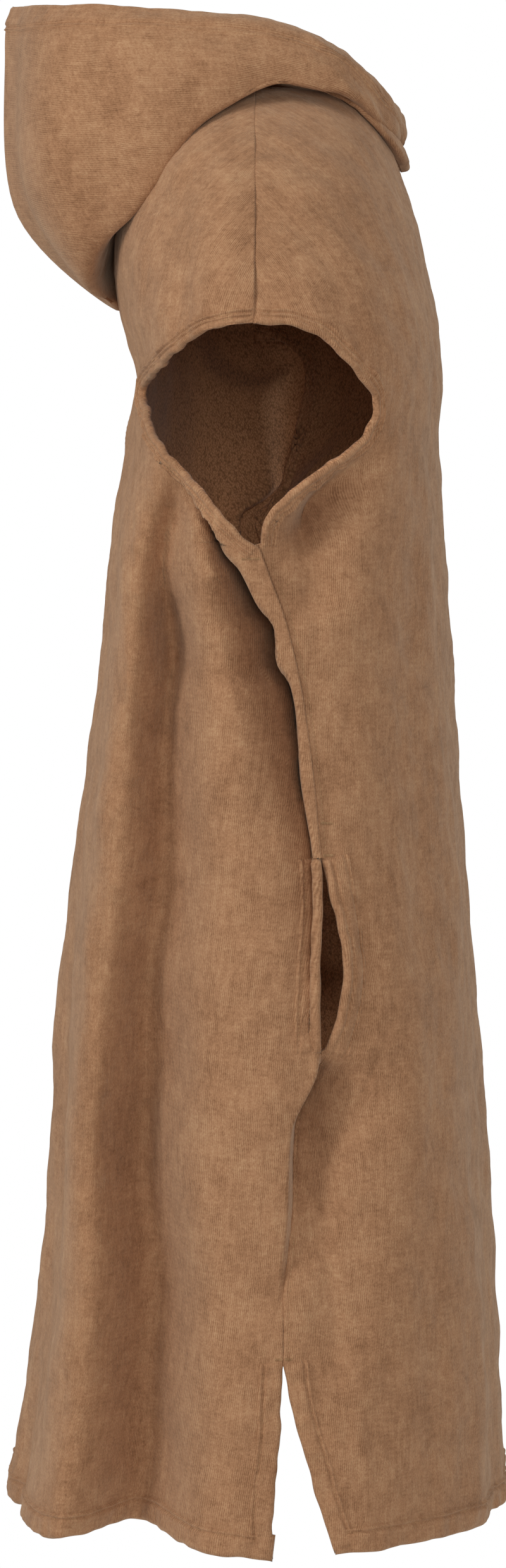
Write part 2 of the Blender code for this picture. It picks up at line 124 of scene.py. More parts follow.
# side edges: drop, y of the front panel's edge, y of the back panel's edge
edges = {
    "shoulder": np.array([(0.0, 0.0, 0.0), (0.09, 0.0, 0.0), (0.18, -0.001, 0.001)]),
    "armholeRight": np.array([
        (0.1800, -0.0010, 0.0010), (0.1829, -0.0270, 0.0210), (0.1896, -0.0450, 0.0425),
        (0.1960, -0.0520, 0.0520), (0.2060, -0.0622, 0.0630), (0.2168, -0.0725, 0.0735),
        (0.2249, -0.0795, 0.0812), (0.2320, -0.0835, 0.0825), (0.2400, -0.0847, 0.0808),
        (0.2574, -0.0813, 0.0752), (0.2684, -0.0717, 0.0672), (0.2791, -0.0552, 0.0580),
        (0.2911, -0.0362, 0.0455), (0.3036, -0.0200, 0.0342), (0.3181, -0.0080, 0.0208),
        (0.3300, -0.0040, 0.0090), (0.3400, -0.0030, -0.0025)]),
    "armholeLeft": np.array([
        (0.1800, -0.0010, 0.0010), (0.1815, -0.0050, -0.0300), (0.1840, -0.0110, -0.0470),
        (0.1900, -0.0240, -0.0560), (0.2072, -0.0400, -0.0590), (0.2256, -0.0420, -0.0590),
        (0.2460, -0.0380, -0.0540), (0.2700, -0.0310, -0.0470), (0.2900, -0.0255, -0.0390),
        (0.3070, -0.0205, -0.0310), (0.3240, -0.0110, -0.0180), (0.3400, -0.0030, -0.0030)]),
    "sideSeam": np.array([
        (0.3400, -0.0030, -0.0030), (0.3650, -0.0120, -0.0120), (0.3850, -0.0195, -0.0195),
        (0.4200, -0.0285, -0.0285), (0.4580, -0.0356, -0.0356), (0.5100, -0.0420, -0.0420),
        (0.5630, -0.0470, -0.0470)]),
    "slitRight": np.array([
        (0.5630, -0.0470, -0.0470), (0.5900, -0.0525, -0.0485), (0.6250, -0.0605, -0.0475),
        (0.6600, -0.0610, -0.0468), (0.6850, -0.0560, -0.0472), (0.7060, -0.0485, -0.0485)]),
    "slitLeft": np.array([
        (0.5630, -0.0470, -0.0470), (0.5900, -0.0485, -0.0525), (0.6250, -0.0495, -0.0555),
        (0.6600, -0.0490, -0.0550), (0.6850, -0.0480, -0.0525), (0.7060, -0.0485, -0.0485)]),
    "lowSeam": np.array([
        (0.7060, -0.0485, -0.0485), (0.7170, -0.0490, -0.0490), (0.7300, -0.0445, -0.0445),
        (0.7400, -0.0390, -0.0390), (0.7583, -0.0303, -0.0303), (0.7800, -0.0280, -0.0280),
        (0.8200, -0.0267, -0.0267), (0.8700, -0.0213, -0.0213), (0.9280, -0.0200, -0.0200)]),
    "sideVent": np.array([
        (0.9280, -0.0200, -0.0200), (0.9571, -0.0240, -0.0188), (0.9850, -0.0305, -0.0181),
        (1.0129, -0.0382, -0.0158), (1.0408, -0.0447, -0.0131), (1.0820, -0.0575, -0.0122)]),
}

# the large folds: panel, side, drop at both ends, angles round the body at even
# steps down the fold (0 is the centre front, 180 the centre back), half width in
# degrees, depth
folds = [
    ("back", right, 0.330, 0.900, (114, 112, 111), 6.0, -0.004),
    ("back", right, 0.800, 1.400, (107, 104), 8.0, -0.006),
    ("back", right, 0.040, 0.190, (103, 100), 10.0, -0.005),
    ("back", right, 0.060, 0.200, (128, 122), 10.0, 0.006),
    ("front", right, 0.290, 0.400, (72, 76), 9.0, 0.014),
    ("front", right, 0.300, 0.700, (45, 50), 9.0, 0.006),
    ("front", right, 0.660, 1.000, (78, 80), 7.0, 0.009),
    ("front", right, 0.780, 1.400, (52, 54), 10.0, 0.006),
    ("back", left, 0.760, 1.400, (106, 108), 8.0, -0.007),
    ("back", left, 0.050, 0.190, (126, 122), 10.0, 0.006),
    ("front", left, 0.300, 0.430, (74, 78), 9.0, 0.010),
    ("front", left, 0.320, 0.760, (47, 52), 9.0, 0.008),
    ("front", left, 0.700, 1.400, (58, 55), 10.0, 0.009),
    ("front", left, 0.175, 0.345, (78, 84), 12.0, 0.006),
    ("back", right, 0.520, 1.400, (158, 160), 9.0, 0.006),
    ("back", left, 0.460, 1.400, (152, 156), 9.0, 0.007),
    ("front", right, 0.560, 1.400, (20, 24), 9.0, 0.005),
    ("front", left, 0.500, 1.400, (24, 20), 9.0, 0.006),
]
# the deepest folds, in the same columns, push straight in towards the wearer's
# middle, so that both their walls show from the side
deepFolds = [
    ("back", right, 0.245, 0.460, (122.5, 123, 123, 121), 7.5, 0.036),
    ("back", right, 0.355, 1.450, (121, 121, 121, 121, 120, 118.5, 117.5, 116.5, 115.5, 115),
     9.5, 0.060),
    ("back", right, 0.280, 1.450, (143, 144, 143, 142), 10.0, -0.032),
    ("back", right, 0.620, 1.450, (125, 124, 122, 121, 120), 11.0, 0.014),
    ("back", right, 0.700, 1.450, (125, 124, 122, 121, 120), 11.0, 0.012),
    ("back", left, 0.280, 1.450, (124, 124, 120), 9.0, 0.042),
    ("back", left, 0.330, 1.450, (144, 144, 142), 10.0, -0.028),
]
foldWobble = ((1.1, 17.0, 1.3), (0.7, 41.0, 0.0))   # degrees, turns and start down the fold
foldFade = 0.30         # share of a fold's length in which it fades in or out
deepFoldFade = 0.080    # the same for the deepest, in metres
foldFreeMiddle = 15.0   # folds die out in this angle before the centre line
# waves of thick cloth: depth, size round the body, size down it, seed. The first
# starts below the armholes
waves = [(0.0016, 0.060, 0.42, 40), (0.0009, 0.045, 0.060, 50), (0.0003, 0.016, 0.022, 60)]
waveStart, waveFade = 0.35, 0.4
# along the low seam the front hangs in behind the back: stretch, lengths in which
# it comes and goes, depth, width on each panel
seamDip = {"stretch": (0.700, 0.905), "fade": (0.030, 0.170), "depth": 0.046,
           "front": 0.080, "back": 0.0055}
# the lower front rim of the armhole is pulled outwards
rimPull = {"stretch": (0.255, 0.338), "fade": 0.030, "out": 0.006, "width": 0.014}
# the front edge of the hand slit stands out, with a hollow beside it
slitLip = {"stretch": (0.57, 0.72), "fade": (0.05, 0.04), "out": 0.003, "width": 0.008,
           "hollow": 0.004, "hollowAt": 0.020, "hollowWidth": 0.010}
# the hollow below the front's armhole rim, leaning along it
dent = {"drop": 0.310, "y": -0.0530, "lean": 46, "length": 0.042, "width": 0.017, "depth": 0.036}
# round the left armhole the back panel stands off and the front does at the
# shoulder only: drop, width, how far the back and the front
standOff = np.array([
    (0.090, 0.066, 0.000, 0.000), (0.130, 0.066, 0.007, 0.007), (0.180, 0.064, 0.023, 0.023),
    (0.200, 0.060, 0.028, 0.009), (0.225, 0.055, 0.030, 0.001), (0.250, 0.048, 0.031, 0.000),
    (0.290, 0.028, 0.026, 0.000), (0.315, 0.017, 0.012, 0.000), (0.335, 0.009, 0.000, 0.000)])

def bodySize(place, drop):
    table = body["sections"]
    return smoothCurve(drop, table[:, 0], table[:, place])


def sectionAt(drop):
    # reach of the cloth's middle to the front, to the back and sideways
    middle = bodySize(4, drop)
    toFront = middle - bodySize(1, drop) - body["cadWall"] / 2
    toBack = bodySize(2, drop) - middle - body["cadWall"] / 2
    sideways = bodySize(3, drop) - body["cadWall"] / 2
    top, chest, hem = body["roundness"]
    power = top + (chest - top) * smoothStep(drop / body["chestDrop"])
    power = power + (hem - chest) * smoothStep((drop - body["chestDrop"]) / body["length"])
    return toFront, toBack, sideways, middle, power


def sectionPoint(drop, angle):
    # a rounded section in polar form, r = (sin^n + cos^n)^(-1/n), stretched to
    # its reach each way, and the unit normal in the section's own plane
    toFront, toBack, sideways, middle, power = sectionAt(drop)
    turn = np.radians(angle)
    across = np.abs(np.sin(turn))
    along = np.abs(np.cos(turn))
    reach = (across ** power + along ** power) ** (-1 / power)
    depth = np.where(angle < 90, -toFront, toBack)
    normalX = across ** (power - 1) / sideways
    normalY = along ** (power - 1) / depth
    length = np.hypot(normalX, normalY)
    x = sideways * reach * across
    y = middle + depth * reach * along
    return x, y, normalX / length, normalY / length


def angleAtDepth(drop, y):
    # the angle at which a section passes the given y
    toFront, toBack, _, middle, power = sectionAt(drop)
    reach = np.where(y < middle, toFront, toBack)
    share = np.clip(np.abs(y - middle) / reach, 1e-4, 0.9999)
    lean = np.arctan(((1 - share ** power) / share ** power) ** (1 / power))
    return np.degrees(np.where(y < middle, lean, math.pi - lean))


def angleAtReach(drop, x, panel):
    # the angle at which a section reaches x sideways
    _, _, sideways, _, power = sectionAt(drop)
    share = np.clip(x / sideways, 0.0, 0.9999)
    lean = np.degrees(np.arctan((share ** power / (1 - share ** power)) ** (1 / power)))
    return lean if panel == "front" else 180 - lean


# lengths round the section, so that the cloth can be laid out in real sizes
tableDrops = np.linspace(0.0, 1.12, 281)
tableAngles = np.linspace(0.0, 180.0, 721)
gridDrop, gridAngle = np.meshgrid(tableDrops, tableAngles, indexing="ij")
gridX, gridY, _, _ = sectionPoint(gridDrop, gridAngle)
arcLengths = np.cumsum(np.hypot(np.diff(gridX, axis=1), np.diff(gridY, axis=1)), axis=1)
arcLengths = np.concatenate([np.zeros((len(tableDrops), 1)), arcLengths], axis=1)
arcShares = np.linspace(0.0, 1.0, 721)
angleAtShare = np.array([np.interp(arcShares * row[-1], row, tableAngles) for row in arcLengths])


def readTable(table, drop, share):
    # straight reading between four cells, share runs from 0 to 1 over the columns
    row = np.clip(drop / tableDrops[-1] * (len(tableDrops) - 1), 0, len(tableDrops) - 1.001)
    place = np.clip(share * (table.shape[1] - 1), 0, table.shape[1] - 1.001)
    i, j = row.astype(int), place.astype(int)
    a, b = row - i, place - j
    low = table[i, j] * (1 - b) + table[i, j + 1] * b
    high = table[i + 1, j] * (1 - b) + table[i + 1, j + 1] * b
    return low * (1 - a) + high * a


def halfRound(drop):
    # length from the centre front to the centre back
    return np.interp(drop, tableDrops, arcLengths[:, -1])


def arcAt(panel, drop, angle):
    # length from the panel's centre line to an angle
    length = readTable(arcLengths, drop, angle / 180.0)
    return length if panel == "front" else halfRound(drop) - length


def angleAtArc(panel, drop, arc):
    share = arc / halfRound(drop)
    share = share if panel == "front" else 1.0 - share
    return readTable(angleAtShare, drop, np.clip(share, 0.0, 1.0))


def denseRows(rows, step=0.0008):
    # a smooth line through rows, with even steps of about the given size
    knots = np.concatenate([[0], np.cumsum(np.linalg.norm(np.diff(rows, axis=0), axis=1))])
    count = max(int(knots[-1] / step), 8)
    return smoothCurve(np.linspace(0, knots[-1], count), knots, rows)


armholeOf = {right: "armholeRight", left: "armholeLeft"}
slitOf = {right: "slitRight", left: "slitLeft"}


def sideStretches(side):
    return ("shoulder", armholeOf[side], "sideSeam", slitOf[side], "lowSeam", "sideVent")


def edgeLine(panel, stretch):
    # drop and length from the centre line, all along one stretch of a side edge
    column = 1 if panel == "front" else 2
    rows = denseRows(edges[stretch][:, (0, column)])
    clear = -body["seamGap"] / 2 if panel == "front" else body["seamGap"] / 2
    drop, y = rows[:, 0], rows[:, 1] + clear
    return drop, arcAt(panel, drop, angleAtDepth(drop, y))


edgeLines = {}
for panel in ("front", "back"):
    for side in (right, left):
        for stretch in sideStretches(side):
            edgeLines[panel, side, stretch] = edgeLine(panel, stretch)
        lines = [edgeLines[panel, side, stretch] for stretch in sideStretches(side)]
        wholeDrop = np.concatenate([line[0] for line in lines])
        wholeArc = np.concatenate([line[1] for line in lines])
        order = np.argsort(wholeDrop, kind="stable")
        edgeLines[panel, side, "all"] = (wholeDrop[order], wholeArc[order])


def edgeArc(panel, side, drop):
    drops, arcs = edgeLines[panel, side, "all"]
    return np.interp(drop, drops, arcs)


def nearEdge(panel, side, stretches, drop, arc):
    # distance to the nearest point of some stretches of the edge, and its drop
    lines = [edgeLines[panel, side, stretch] for stretch in stretches]
    drops = np.concatenate([line[0][::3] for line in lines])
    arcs = np.concatenate([line[1][::3] for line in lines])
    flatDrop, flatArc = np.ravel(drop), np.ravel(arc)
    distance = np.full(flatDrop.shape, 1.0)
    nearest = np.zeros(flatDrop.shape)
    near = (flatDrop > drops.min() - 0.12) & (flatDrop < drops.max() + 0.12)
    near &= flatArc > arcs.min() - 0.12
    where = np.flatnonzero(near)
    for part in np.array_split(where, max(len(where) // 20000, 1)):
        gap = np.hypot(flatDrop[part, None] - drops, flatArc[part, None] - arcs)
        first = np.argmin(gap, axis=1)
        distance[part] = gap[np.arange(len(part)), first]
        nearest[part] = drops[first]
    return distance.reshape(np.shape(drop)), nearest.reshape(np.shape(drop))


# the back panel stands out in a narrow flange along the side seam and hangs in
# behind it: drop, width of the flange, depth and width of the hollow behind it
flange = {
    "right": np.array([
        (0.270, 0.0030, 0.000, 0.012), (0.290, 0.0040, 0.006, 0.012),
        (0.305, 0.0075, 0.022, 0.014), (0.322, 0.0130, 0.044, 0.020),
        (0.333, 0.0180, 0.056, 0.023), (0.344, 0.0180, 0.064, 0.026),
        (0.355, 0.0160, 0.070, 0.034), (0.3815, 0.0125, 0.078, 0.056),
        (0.392, 0.0078, 0.078, 0.064), (0.405, 0.0090, 0.078, 0.068),
        (0.422, 0.0112, 0.076, 0.068), (0.434, 0.0060, 0.073, 0.067),
        (0.449, 0.0046, 0.067, 0.065), (0.476, 0.0055, 0.054, 0.060),
        (0.505, 0.0070, 0.042, 0.056), (0.554, 0.0040, 0.028, 0.052),
        (0.620, 0.0040, 0.015, 0.048), (0.700, 0.0040, 0.000, 0.046)]),
    "left": np.array([
        (0.300, 0.004, 0.000, 0.030), (0.330, 0.012, 0.014, 0.030),
        (0.352, 0.0200, 0.024, 0.036), (0.380, 0.0120, 0.028, 0.050),
        (0.402, 0.0080, 0.028, 0.056), (0.430, 0.0100, 0.026, 0.056),
        (0.462, 0.0050, 0.022, 0.052), (0.520, 0.0060, 0.015, 0.048),
        (0.590, 0.0050, 0.008, 0.046), (0.680, 0.0050, 0.000, 0.046)]),
    "proud": 0.0022,        # how far the flange stands out
    "wall": 0.0055,         # width of cloth in which it drops into the hollow
    "under": 0.0040,        # how far the hollow runs in under the flange
    "recoverPower": 2.4,    # a higher power rises sooner beside the wall
    "proudFrom": 0.008, "underFrom": 0.017,     # depths from which both are at their full
}


def foldDepth(rows, panel, side, drop, angle, fadeShare, fadeLength):
    # how deep some rows of folds are, at places on one half of a panel
    total = np.zeros(angle.shape)
    wobble = sum(size * np.sin(drop * turns + start) for size, turns, start in foldWobble)
    for foldPanel, foldSide, top, bottom, turns, halfWidth, depth in rows:
        if foldPanel != panel or foldSide != side:
            continue
        along = (drop - top) / (bottom - top)
        fadeIn = fadeShare * (bottom - top) + fadeLength
        fade = smoothStep((drop - top) / fadeIn) * smoothStep((bottom - drop) / fadeIn)
        steps = np.linspace(0, 1, len(turns))
        centre = smoothCurve(np.clip(along, 0, 1), steps, np.array(turns, float)) + wobble
        total += depth * fade * bell(angle - centre, halfWidth)
    return total * smoothStep(np.minimum(angle, 180 - angle) / foldFreeMiddle)


def relief(panel, side, arc, drop, angle):
    # everything that pushes the cloth in along its normal, slides it towards the
    # seam, and pushes it straight in sideways
    push = foldDepth(folds, panel, side, drop, angle, foldFade, 0.0)
    sideways = foldDepth(deepFolds, panel, side, drop, angle, 0.0, deepFoldFade)
    slide = np.zeros(arc.shape)
    low = smoothStep((drop - waveStart) / waveFade)
    for number, (depth, sizeRound, sizeDown, seed) in enumerate(waves):
        wave = softNoise(arc * side, drop, sizeRound, sizeDown, seed + 3 * (panel == "back"))
        push += depth * wave * (low if number == 0 else 1.0)
    if panel == "back":
        rows = flange["right" if side == right else "left"]
        sewnOn = (armholeOf[side], "sideSeam", slitOf[side])
        gap, at = nearEdge(panel, side, sewnOn, drop, arc)
        knots = rows[:, 0]
        width = smoothCurve(at, knots, rows[:, 1])
        depth = np.clip(smoothCurve(at, knots, rows[:, 2]), 0, None)
        recover = np.interp(at, knots, rows[:, 3])
        wall = smoothStep((gap - width) / flange["wall"])
        beyond = (gap - width - flange["wall"]) / recover
        back = np.clip(1 - beyond, 0, 1) ** flange["recoverPower"]
        strength = np.clip(depth / flange["proudFrom"], 0, 1)
        push -= flange["proud"] * strength * (1 - wall)
        sideways += depth * wall * back
        slide += flange["under"] * strength * wall * back * np.clip(
            depth / flange["underFrom"], 0, 1)
    if side == left:
        gap, at = nearEdge(panel, side, ("shoulder", armholeOf[side]), drop, arc)
        table = smoothCurve(np.clip(drop, 0.09, 0.335), standOff[:, 0], standOff)
        width = table[..., 1]
        off = table[..., 2 if panel == "back" else 3]
        sideways -= off * smoothStep((width - gap) / (0.45 * width + 0.004))
    if panel == "front":
        gap, at = nearEdge(panel, side, (armholeOf[side],), drop, arc)
        first, last = rimPull["stretch"]
        lower = smoothStep((at - first) / rimPull["fade"])
        lower = lower * smoothStep((last - at) / rimPull["fade"])
        push -= lower * rimPull["out"] * bell(gap, rimPull["width"])
        centre = arcAt(panel, dent["drop"], angleAtDepth(dent["drop"], dent["y"]))
        down, across = drop - dent["drop"], arc - centre
        lean = math.radians(dent["lean"])
        along = math.cos(lean) * down + math.sin(lean) * across
        beside = math.cos(lean) * across - math.sin(lean) * down
        push += dent["depth"] * bell(along, dent["length"]) * bell(beside, dent["width"])
        gap, at = nearEdge(panel, side, (slitOf[side],), drop, arc)
        (first, last), (fadeIn, fadeOut) = slitLip["stretch"], slitLip["fade"]
        open_ = smoothStep((at - first) / fadeIn) * smoothStep((last - at) / fadeOut)
        push += open_ * (slitLip["hollow"] * bell(gap - slitLip["hollowAt"], slitLip["hollowWidth"])
                         - slitLip["out"] * bell(gap, slitLip["width"]))
    gap, at = nearEdge(panel, side, ("lowSeam",), drop, arc)
    (first, last), (fadeIn, fadeOut) = seamDip["stretch"], seamDip["fade"]
    dip = seamDip["depth"] * smoothStep((at - first) / fadeIn) * smoothStep((last - at) / fadeOut)
    share = np.clip(1 - gap / seamDip[panel], 0, 1)
    push += dip * (share ** 2 if panel == "front" else smoothStep(share))
    return push, slide, sideways


def bodySurface(panel, arc, drop):
    # middle of the cloth. arc is the signed length from the panel's centre line,
    # negative on the wearer's right; the section is pushed and slid by its relief
    arc, drop = np.broadcast_arrays(np.asarray(arc, float), np.asarray(drop, float))
    out = np.empty(arc.shape + (3,))
    for side in (right, left):
        mine = (arc < 0) if side == right else (arc >= 0)
        if not mine.any():
            continue
        a, d = np.abs(arc[mine]), drop[mine]
        angle = angleAtArc(panel, d, a)
        x, y, normalX, normalY = sectionPoint(d, angle)
        push, slide, sideways = relief(panel, side, a, d, angle)
        towards = 1.0 if panel == "front" else -1.0
        x = x - push * normalX - towards * slide * normalY - sideways
        y = y - push * normalY + towards * slide * normalX
        along = np.abs(np.cos(np.radians(angle)))
        corner = body["cornerDrop"] * bell(angle - 90, body["cornerWidth"])
        rise = body["hemRise"] * (1 - along ** body["hemRisePower"]) - corner
        from_ = body["hemRiseFrom"]
        rise = rise * smoothStep((d - from_) / (body["length"] - from_))
        out[mine] = np.stack([side * x, y, rise - d], axis=-1)
    return out


def surfaceFrame(surface, u, v, step=0.0004):
    # two tangents and the outward normal, by small steps on the surface
    alongU = (surface(u + step, v) - surface(u - step, v)) / (2 * step)
    alongV = (surface(u, v + step) - surface(u, v - step)) / (2 * step)
    normal = unit(np.cross(alongV, alongU))
    return alongU, alongV, normal


def gridFaces(rows, columns):
    number = np.arange(rows * columns).reshape(rows, columns)
    corners = [number[:-1, :-1], number[1:, :-1], number[1:, 1:], number[:-1, 1:]]
    return np.stack(corners, axis=-1).reshape(-1, 4)


def openEdges(faces):
    # edges that only one face uses, in that face's own direction
    starts = faces.reshape(-1)
    ends = np.roll(faces, -1, axis=1).reshape(-1)
    size = faces.max() + 1
    forward, backward = starts * size + ends, ends * size + starts
    alone = ~np.isin(forward, backward)
    return np.stack([starts[alone], ends[alone]], axis=1)


def makeMesh(name, points, quads, surfaces, flat, materials):
    # points, four-cornered faces, a material number for each face, and each
    # point's place in the flat cloth in metres
    mesh = bpy.data.meshes.new(name)
    mesh.vertices.add(len(points))
    mesh.vertices.foreach_set("co", points.astype(np.float32).ravel())
    mesh.loops.add(quads.size)
    mesh.loops.foreach_set("vertex_index", quads.astype(np.int32).ravel())
    mesh.polygons.add(len(quads))
    starts = np.arange(0, quads.size, 4, dtype=np.int32)
    mesh.polygons.foreach_set("loop_start", starts)
    mesh.polygons.foreach_set("material_index", surfaces.astype(np.int32))
    mesh.update(calc_edges=True)
    mesh.validate()
    layer = mesh.uv_layers.new(name="clothMetres")
    layer.data.foreach_set("uv", flat[quads.ravel()].astype(np.float32).ravel())
    for material in materials:
        mesh.materials.append(material)
    mesh.shade_smooth()
    piece = bpy.data.objects.new(name, mesh)
    bpy.context.scene.collection.objects.link(piece)
    return piece


def clothShell(points, normals, half, flat, quads):
    # an outer face, an inner face and the edge between them
    count = len(points)
    shell = np.concatenate([points + normals * half[:, None], points - normals * half[:, None]])
    rim = openEdges(quads)
    rimQuads = np.stack([rim[:, 1], rim[:, 0], rim[:, 0] + count, rim[:, 1] + count], axis=1)
    faces = np.concatenate([quads, quads[:, ::-1] + count, rimQuads])
    surfaces = np.concatenate([
        np.zeros(len(quads)), np.ones(len(quads)), np.zeros(len(rimQuads))])
    return shell, faces, surfaces, np.concatenate([flat, flat])


def joinParts(parts):
    # several shells as one list of points and faces
    points, quads, surfaces, flats, count = [], [], [], [], 0
    for part in parts:
        points.append(part[0])
        quads.append(part[1] + count)
        surfaces.append(part[2])
        flats.append(part[3])
        count += len(part[0])
    return (np.concatenate(points), np.concatenate(quads), np.concatenate(surfaces),
            np.concatenate(flats))


# the cloth of each piece
cloth = {
    "half": 0.0014,        # half its thickness
    "roundEnd": 0.0011,    # a sewn edge rounds off over this width
    "inset": 0.0035,       # the cloth inside a turned edge ends this far from it
    "nearWidth": 0.090,    # beside the side edges the mesh is closer
    # places of the mesh's columns beside the edge, and past it where the front
    # panel runs on under the back panel in a seam
    "nearColumns": np.concatenate([
        [-0.0038, -0.0034, -0.0028, -0.0020, -0.0012, -0.0005, 0.0002, 0.0008, 0.0014, 0.0020,
         0.0028, 0.0034, 0.0040, 0.0050, 0.0064], np.linspace(0.0081, 0.0480, 22),
        np.linspace(0.0525, 0.090, 8)]),
    "fixedWidth": 0.0064,  # only columns past this width draw together
    "lap": 0.0038, "lapDrop": 0.0018,
    "farColumns": 50,
    "evening": 0.014,      # length over which the far columns even out the edge
    # drops between which the side edges are turned
    "turned": [(0.1806, 0.338), (0.566, 0.703), (0.931, 1.082)],
    # ends of stretches down the panel and the distance of the rows in them
    "rows": [
        (0.174, 0.0058), (0.1795, 0.0018), (0.1842, 0.0006), (0.197, 0.0017), (0.300, 0.0040),
        (0.345, 0.0023), (0.600, 0.0042), (0.930, 0.0062), (1.060, 0.0052), (1.082, 0.0036)],
    "seamGroove": (0.0036, 0.0010, 0.0004),   # place, half width and depth
}


def panelDrops(panel):
    # levels of the rows: close together round the neck, the armholes and the hem
    depth = body["neckDrop"][panel]
    neck = depth * np.sin(np.radians(np.linspace(1.5, 90, 16)))
    levels, start = [neck], depth
    for end, step in cloth["rows"]:
        end = min(end, body["length"] - cloth["inset"])
        count = max(int(round((end - start) / step)), 1)
        levels.append(np.linspace(start, end, count + 1)[1:])
        start = end
    return np.concatenate(levels)


def makePanel(panel):
    # two halves from the centre line to the side edge, one column shared
    drop = panelDrops(panel)
    depth = body["neckDrop"][panel]
    open_ = np.sqrt(np.clip(1 - (drop / depth) ** 2, 0, 1))
    neckAngle = angleAtReach(drop, body["neckHalfWidth"] * open_, panel)
    start = np.where(drop < depth, arcAt(panel, drop, neckAngle), 0.0)
    turned = np.any([(drop > first) & (drop < last) for first, last in cloth["turned"]], axis=0)
    lap = cloth["lap"] if panel == "front" else 0.0
    places = cloth["nearColumns"] + cloth["lap"] - lap
    width, fixed = cloth["nearWidth"], cloth["fixedWidth"]
    parts, counts = [], 0
    rows, columns = len(drop), cloth["farColumns"] + len(places)
    # far from the edge the columns follow an evened-out edge
    weights = bell(drop[:, None] - drop, cloth["evening"]) * np.gradient(drop)
    weights /= weights.sum(axis=1, keepdims=True)
    for side in (right, left):
        end = edgeArc(panel, side, drop) - (cloth["inset"] + lap) * turned
        # the near columns draw together where the panel is narrow
        near = np.minimum(width, 0.55 * (end - start))
        close = np.where(places < fixed, places, fixed + (places - fixed) * (
            (near - fixed) / (width - fixed))[:, None])
        close = np.broadcast_to(close, (rows, len(places)))
        even = weights @ end - end
        blend = smoothStep(close / close[:, -1:])
        close = close - even[:, None] * blend
        far = start[:, None] + (end - close[:, -1] - start)[:, None] * np.linspace(
            0, 1, cloth["farColumns"], endpoint=False)
        arc = np.concatenate([far, end[:, None] - close[:, ::-1]], axis=1)
        gap = end[:, None] - arc
        level = np.repeat(drop[:, None], columns, axis=1)
        rounding = 1 - np.clip((gap + lap) / cloth["roundEnd"], 0, 1)
        half = cloth["half"] * np.sqrt(1 - rounding ** 2) + 0.0001
        place, halfWidth, grooveDepth = cloth["seamGroove"]
        groove = np.zeros(gap.shape)
        if panel == "front":
            groove = grooveDepth * bell(gap - place, halfWidth) * (drop > 0.35)[:, None]
            groove += cloth["lapDrop"] * smoothStep((0.0002 - gap) / 0.0022)
            groove *= ~turned[:, None]
        signed = np.where(arc == 0, 0.0, side * arc)
        points = bodySurface(panel, signed, level)
        _, _, normal = surfaceFrame(lambda u, v: bodySurface(panel, u, v), signed, level)
        normal = normal * (1 if panel == "front" else -1)
        quads = gridFaces(rows, columns)
        if (side == left) == (panel == "back"):
            quads = quads[:, ::-1]
        flat = np.stack([signed, level], axis=-1).reshape(-1, 2)
        parts.append((points.reshape(-1, 3), normal.reshape(-1, 3), half.ravel(),
                      groove.ravel(), flat, quads + counts))
        counts += rows * columns
    points, normals, half, groove, flat, quads = (np.concatenate(item) for item in zip(*parts))
    merged = np.arange(counts)
    shared = np.flatnonzero(start == 0.0) * columns
    merged[shared + rows * columns] = shared
    quads = merged[quads]
    used, quads = np.unique(quads, return_inverse=True)
    quads = quads.reshape(-1, 4)
    points = points - normals * groove[:, None]
    return clothShell(points[used], normals[used], half[used], flat[used], quads)


hem = {
    # width, how far it stands out on the outside and inside, rows of stitches,
    # depth of their groove, how far the edge wanders
    "hem": {"width": 0.0185, "outside": 0.0032, "inside": 0.0042, "stitches": (0.0160,),
            "groove": 0.0018, "wander": 0.0006, "ripple": 0.0005},
    "vent": {"width": 0.0160, "outside": 0.0030, "inside": 0.0038, "stitches": (0.0138,),
             "groove": 0.0017, "wander": 0.0006, "ripple": 0.0005},
    "armhole": {"width": 0.0100, "outside": 0.0033, "inside": 0.0044, "stitches": (0.0046, 0.0078),
                "groove": 0.0018, "wander": 0.0007, "ripple": 0.0009},
    "slit": {"width": 0.0190, "outside": 0.0034, "inside": 0.0042, "stitches": (0.0066, 0.0168),
             "groove": 0.0019, "wander": 0.0004, "ripple": 0.0004},
    "rim": {"width": 0.0248, "outside": 0.0029, "inside": 0.0042, "stitches": (0.0226,),
            "groove": 0.0017, "wander": 0.00015, "ripple": 0.0002},
}
roundings = np.radians([-90, -60, -30, 0, 30, 60, 90])
stitchRows = {"front": [], "back": [], "hood_right": [], "hood_left": []}


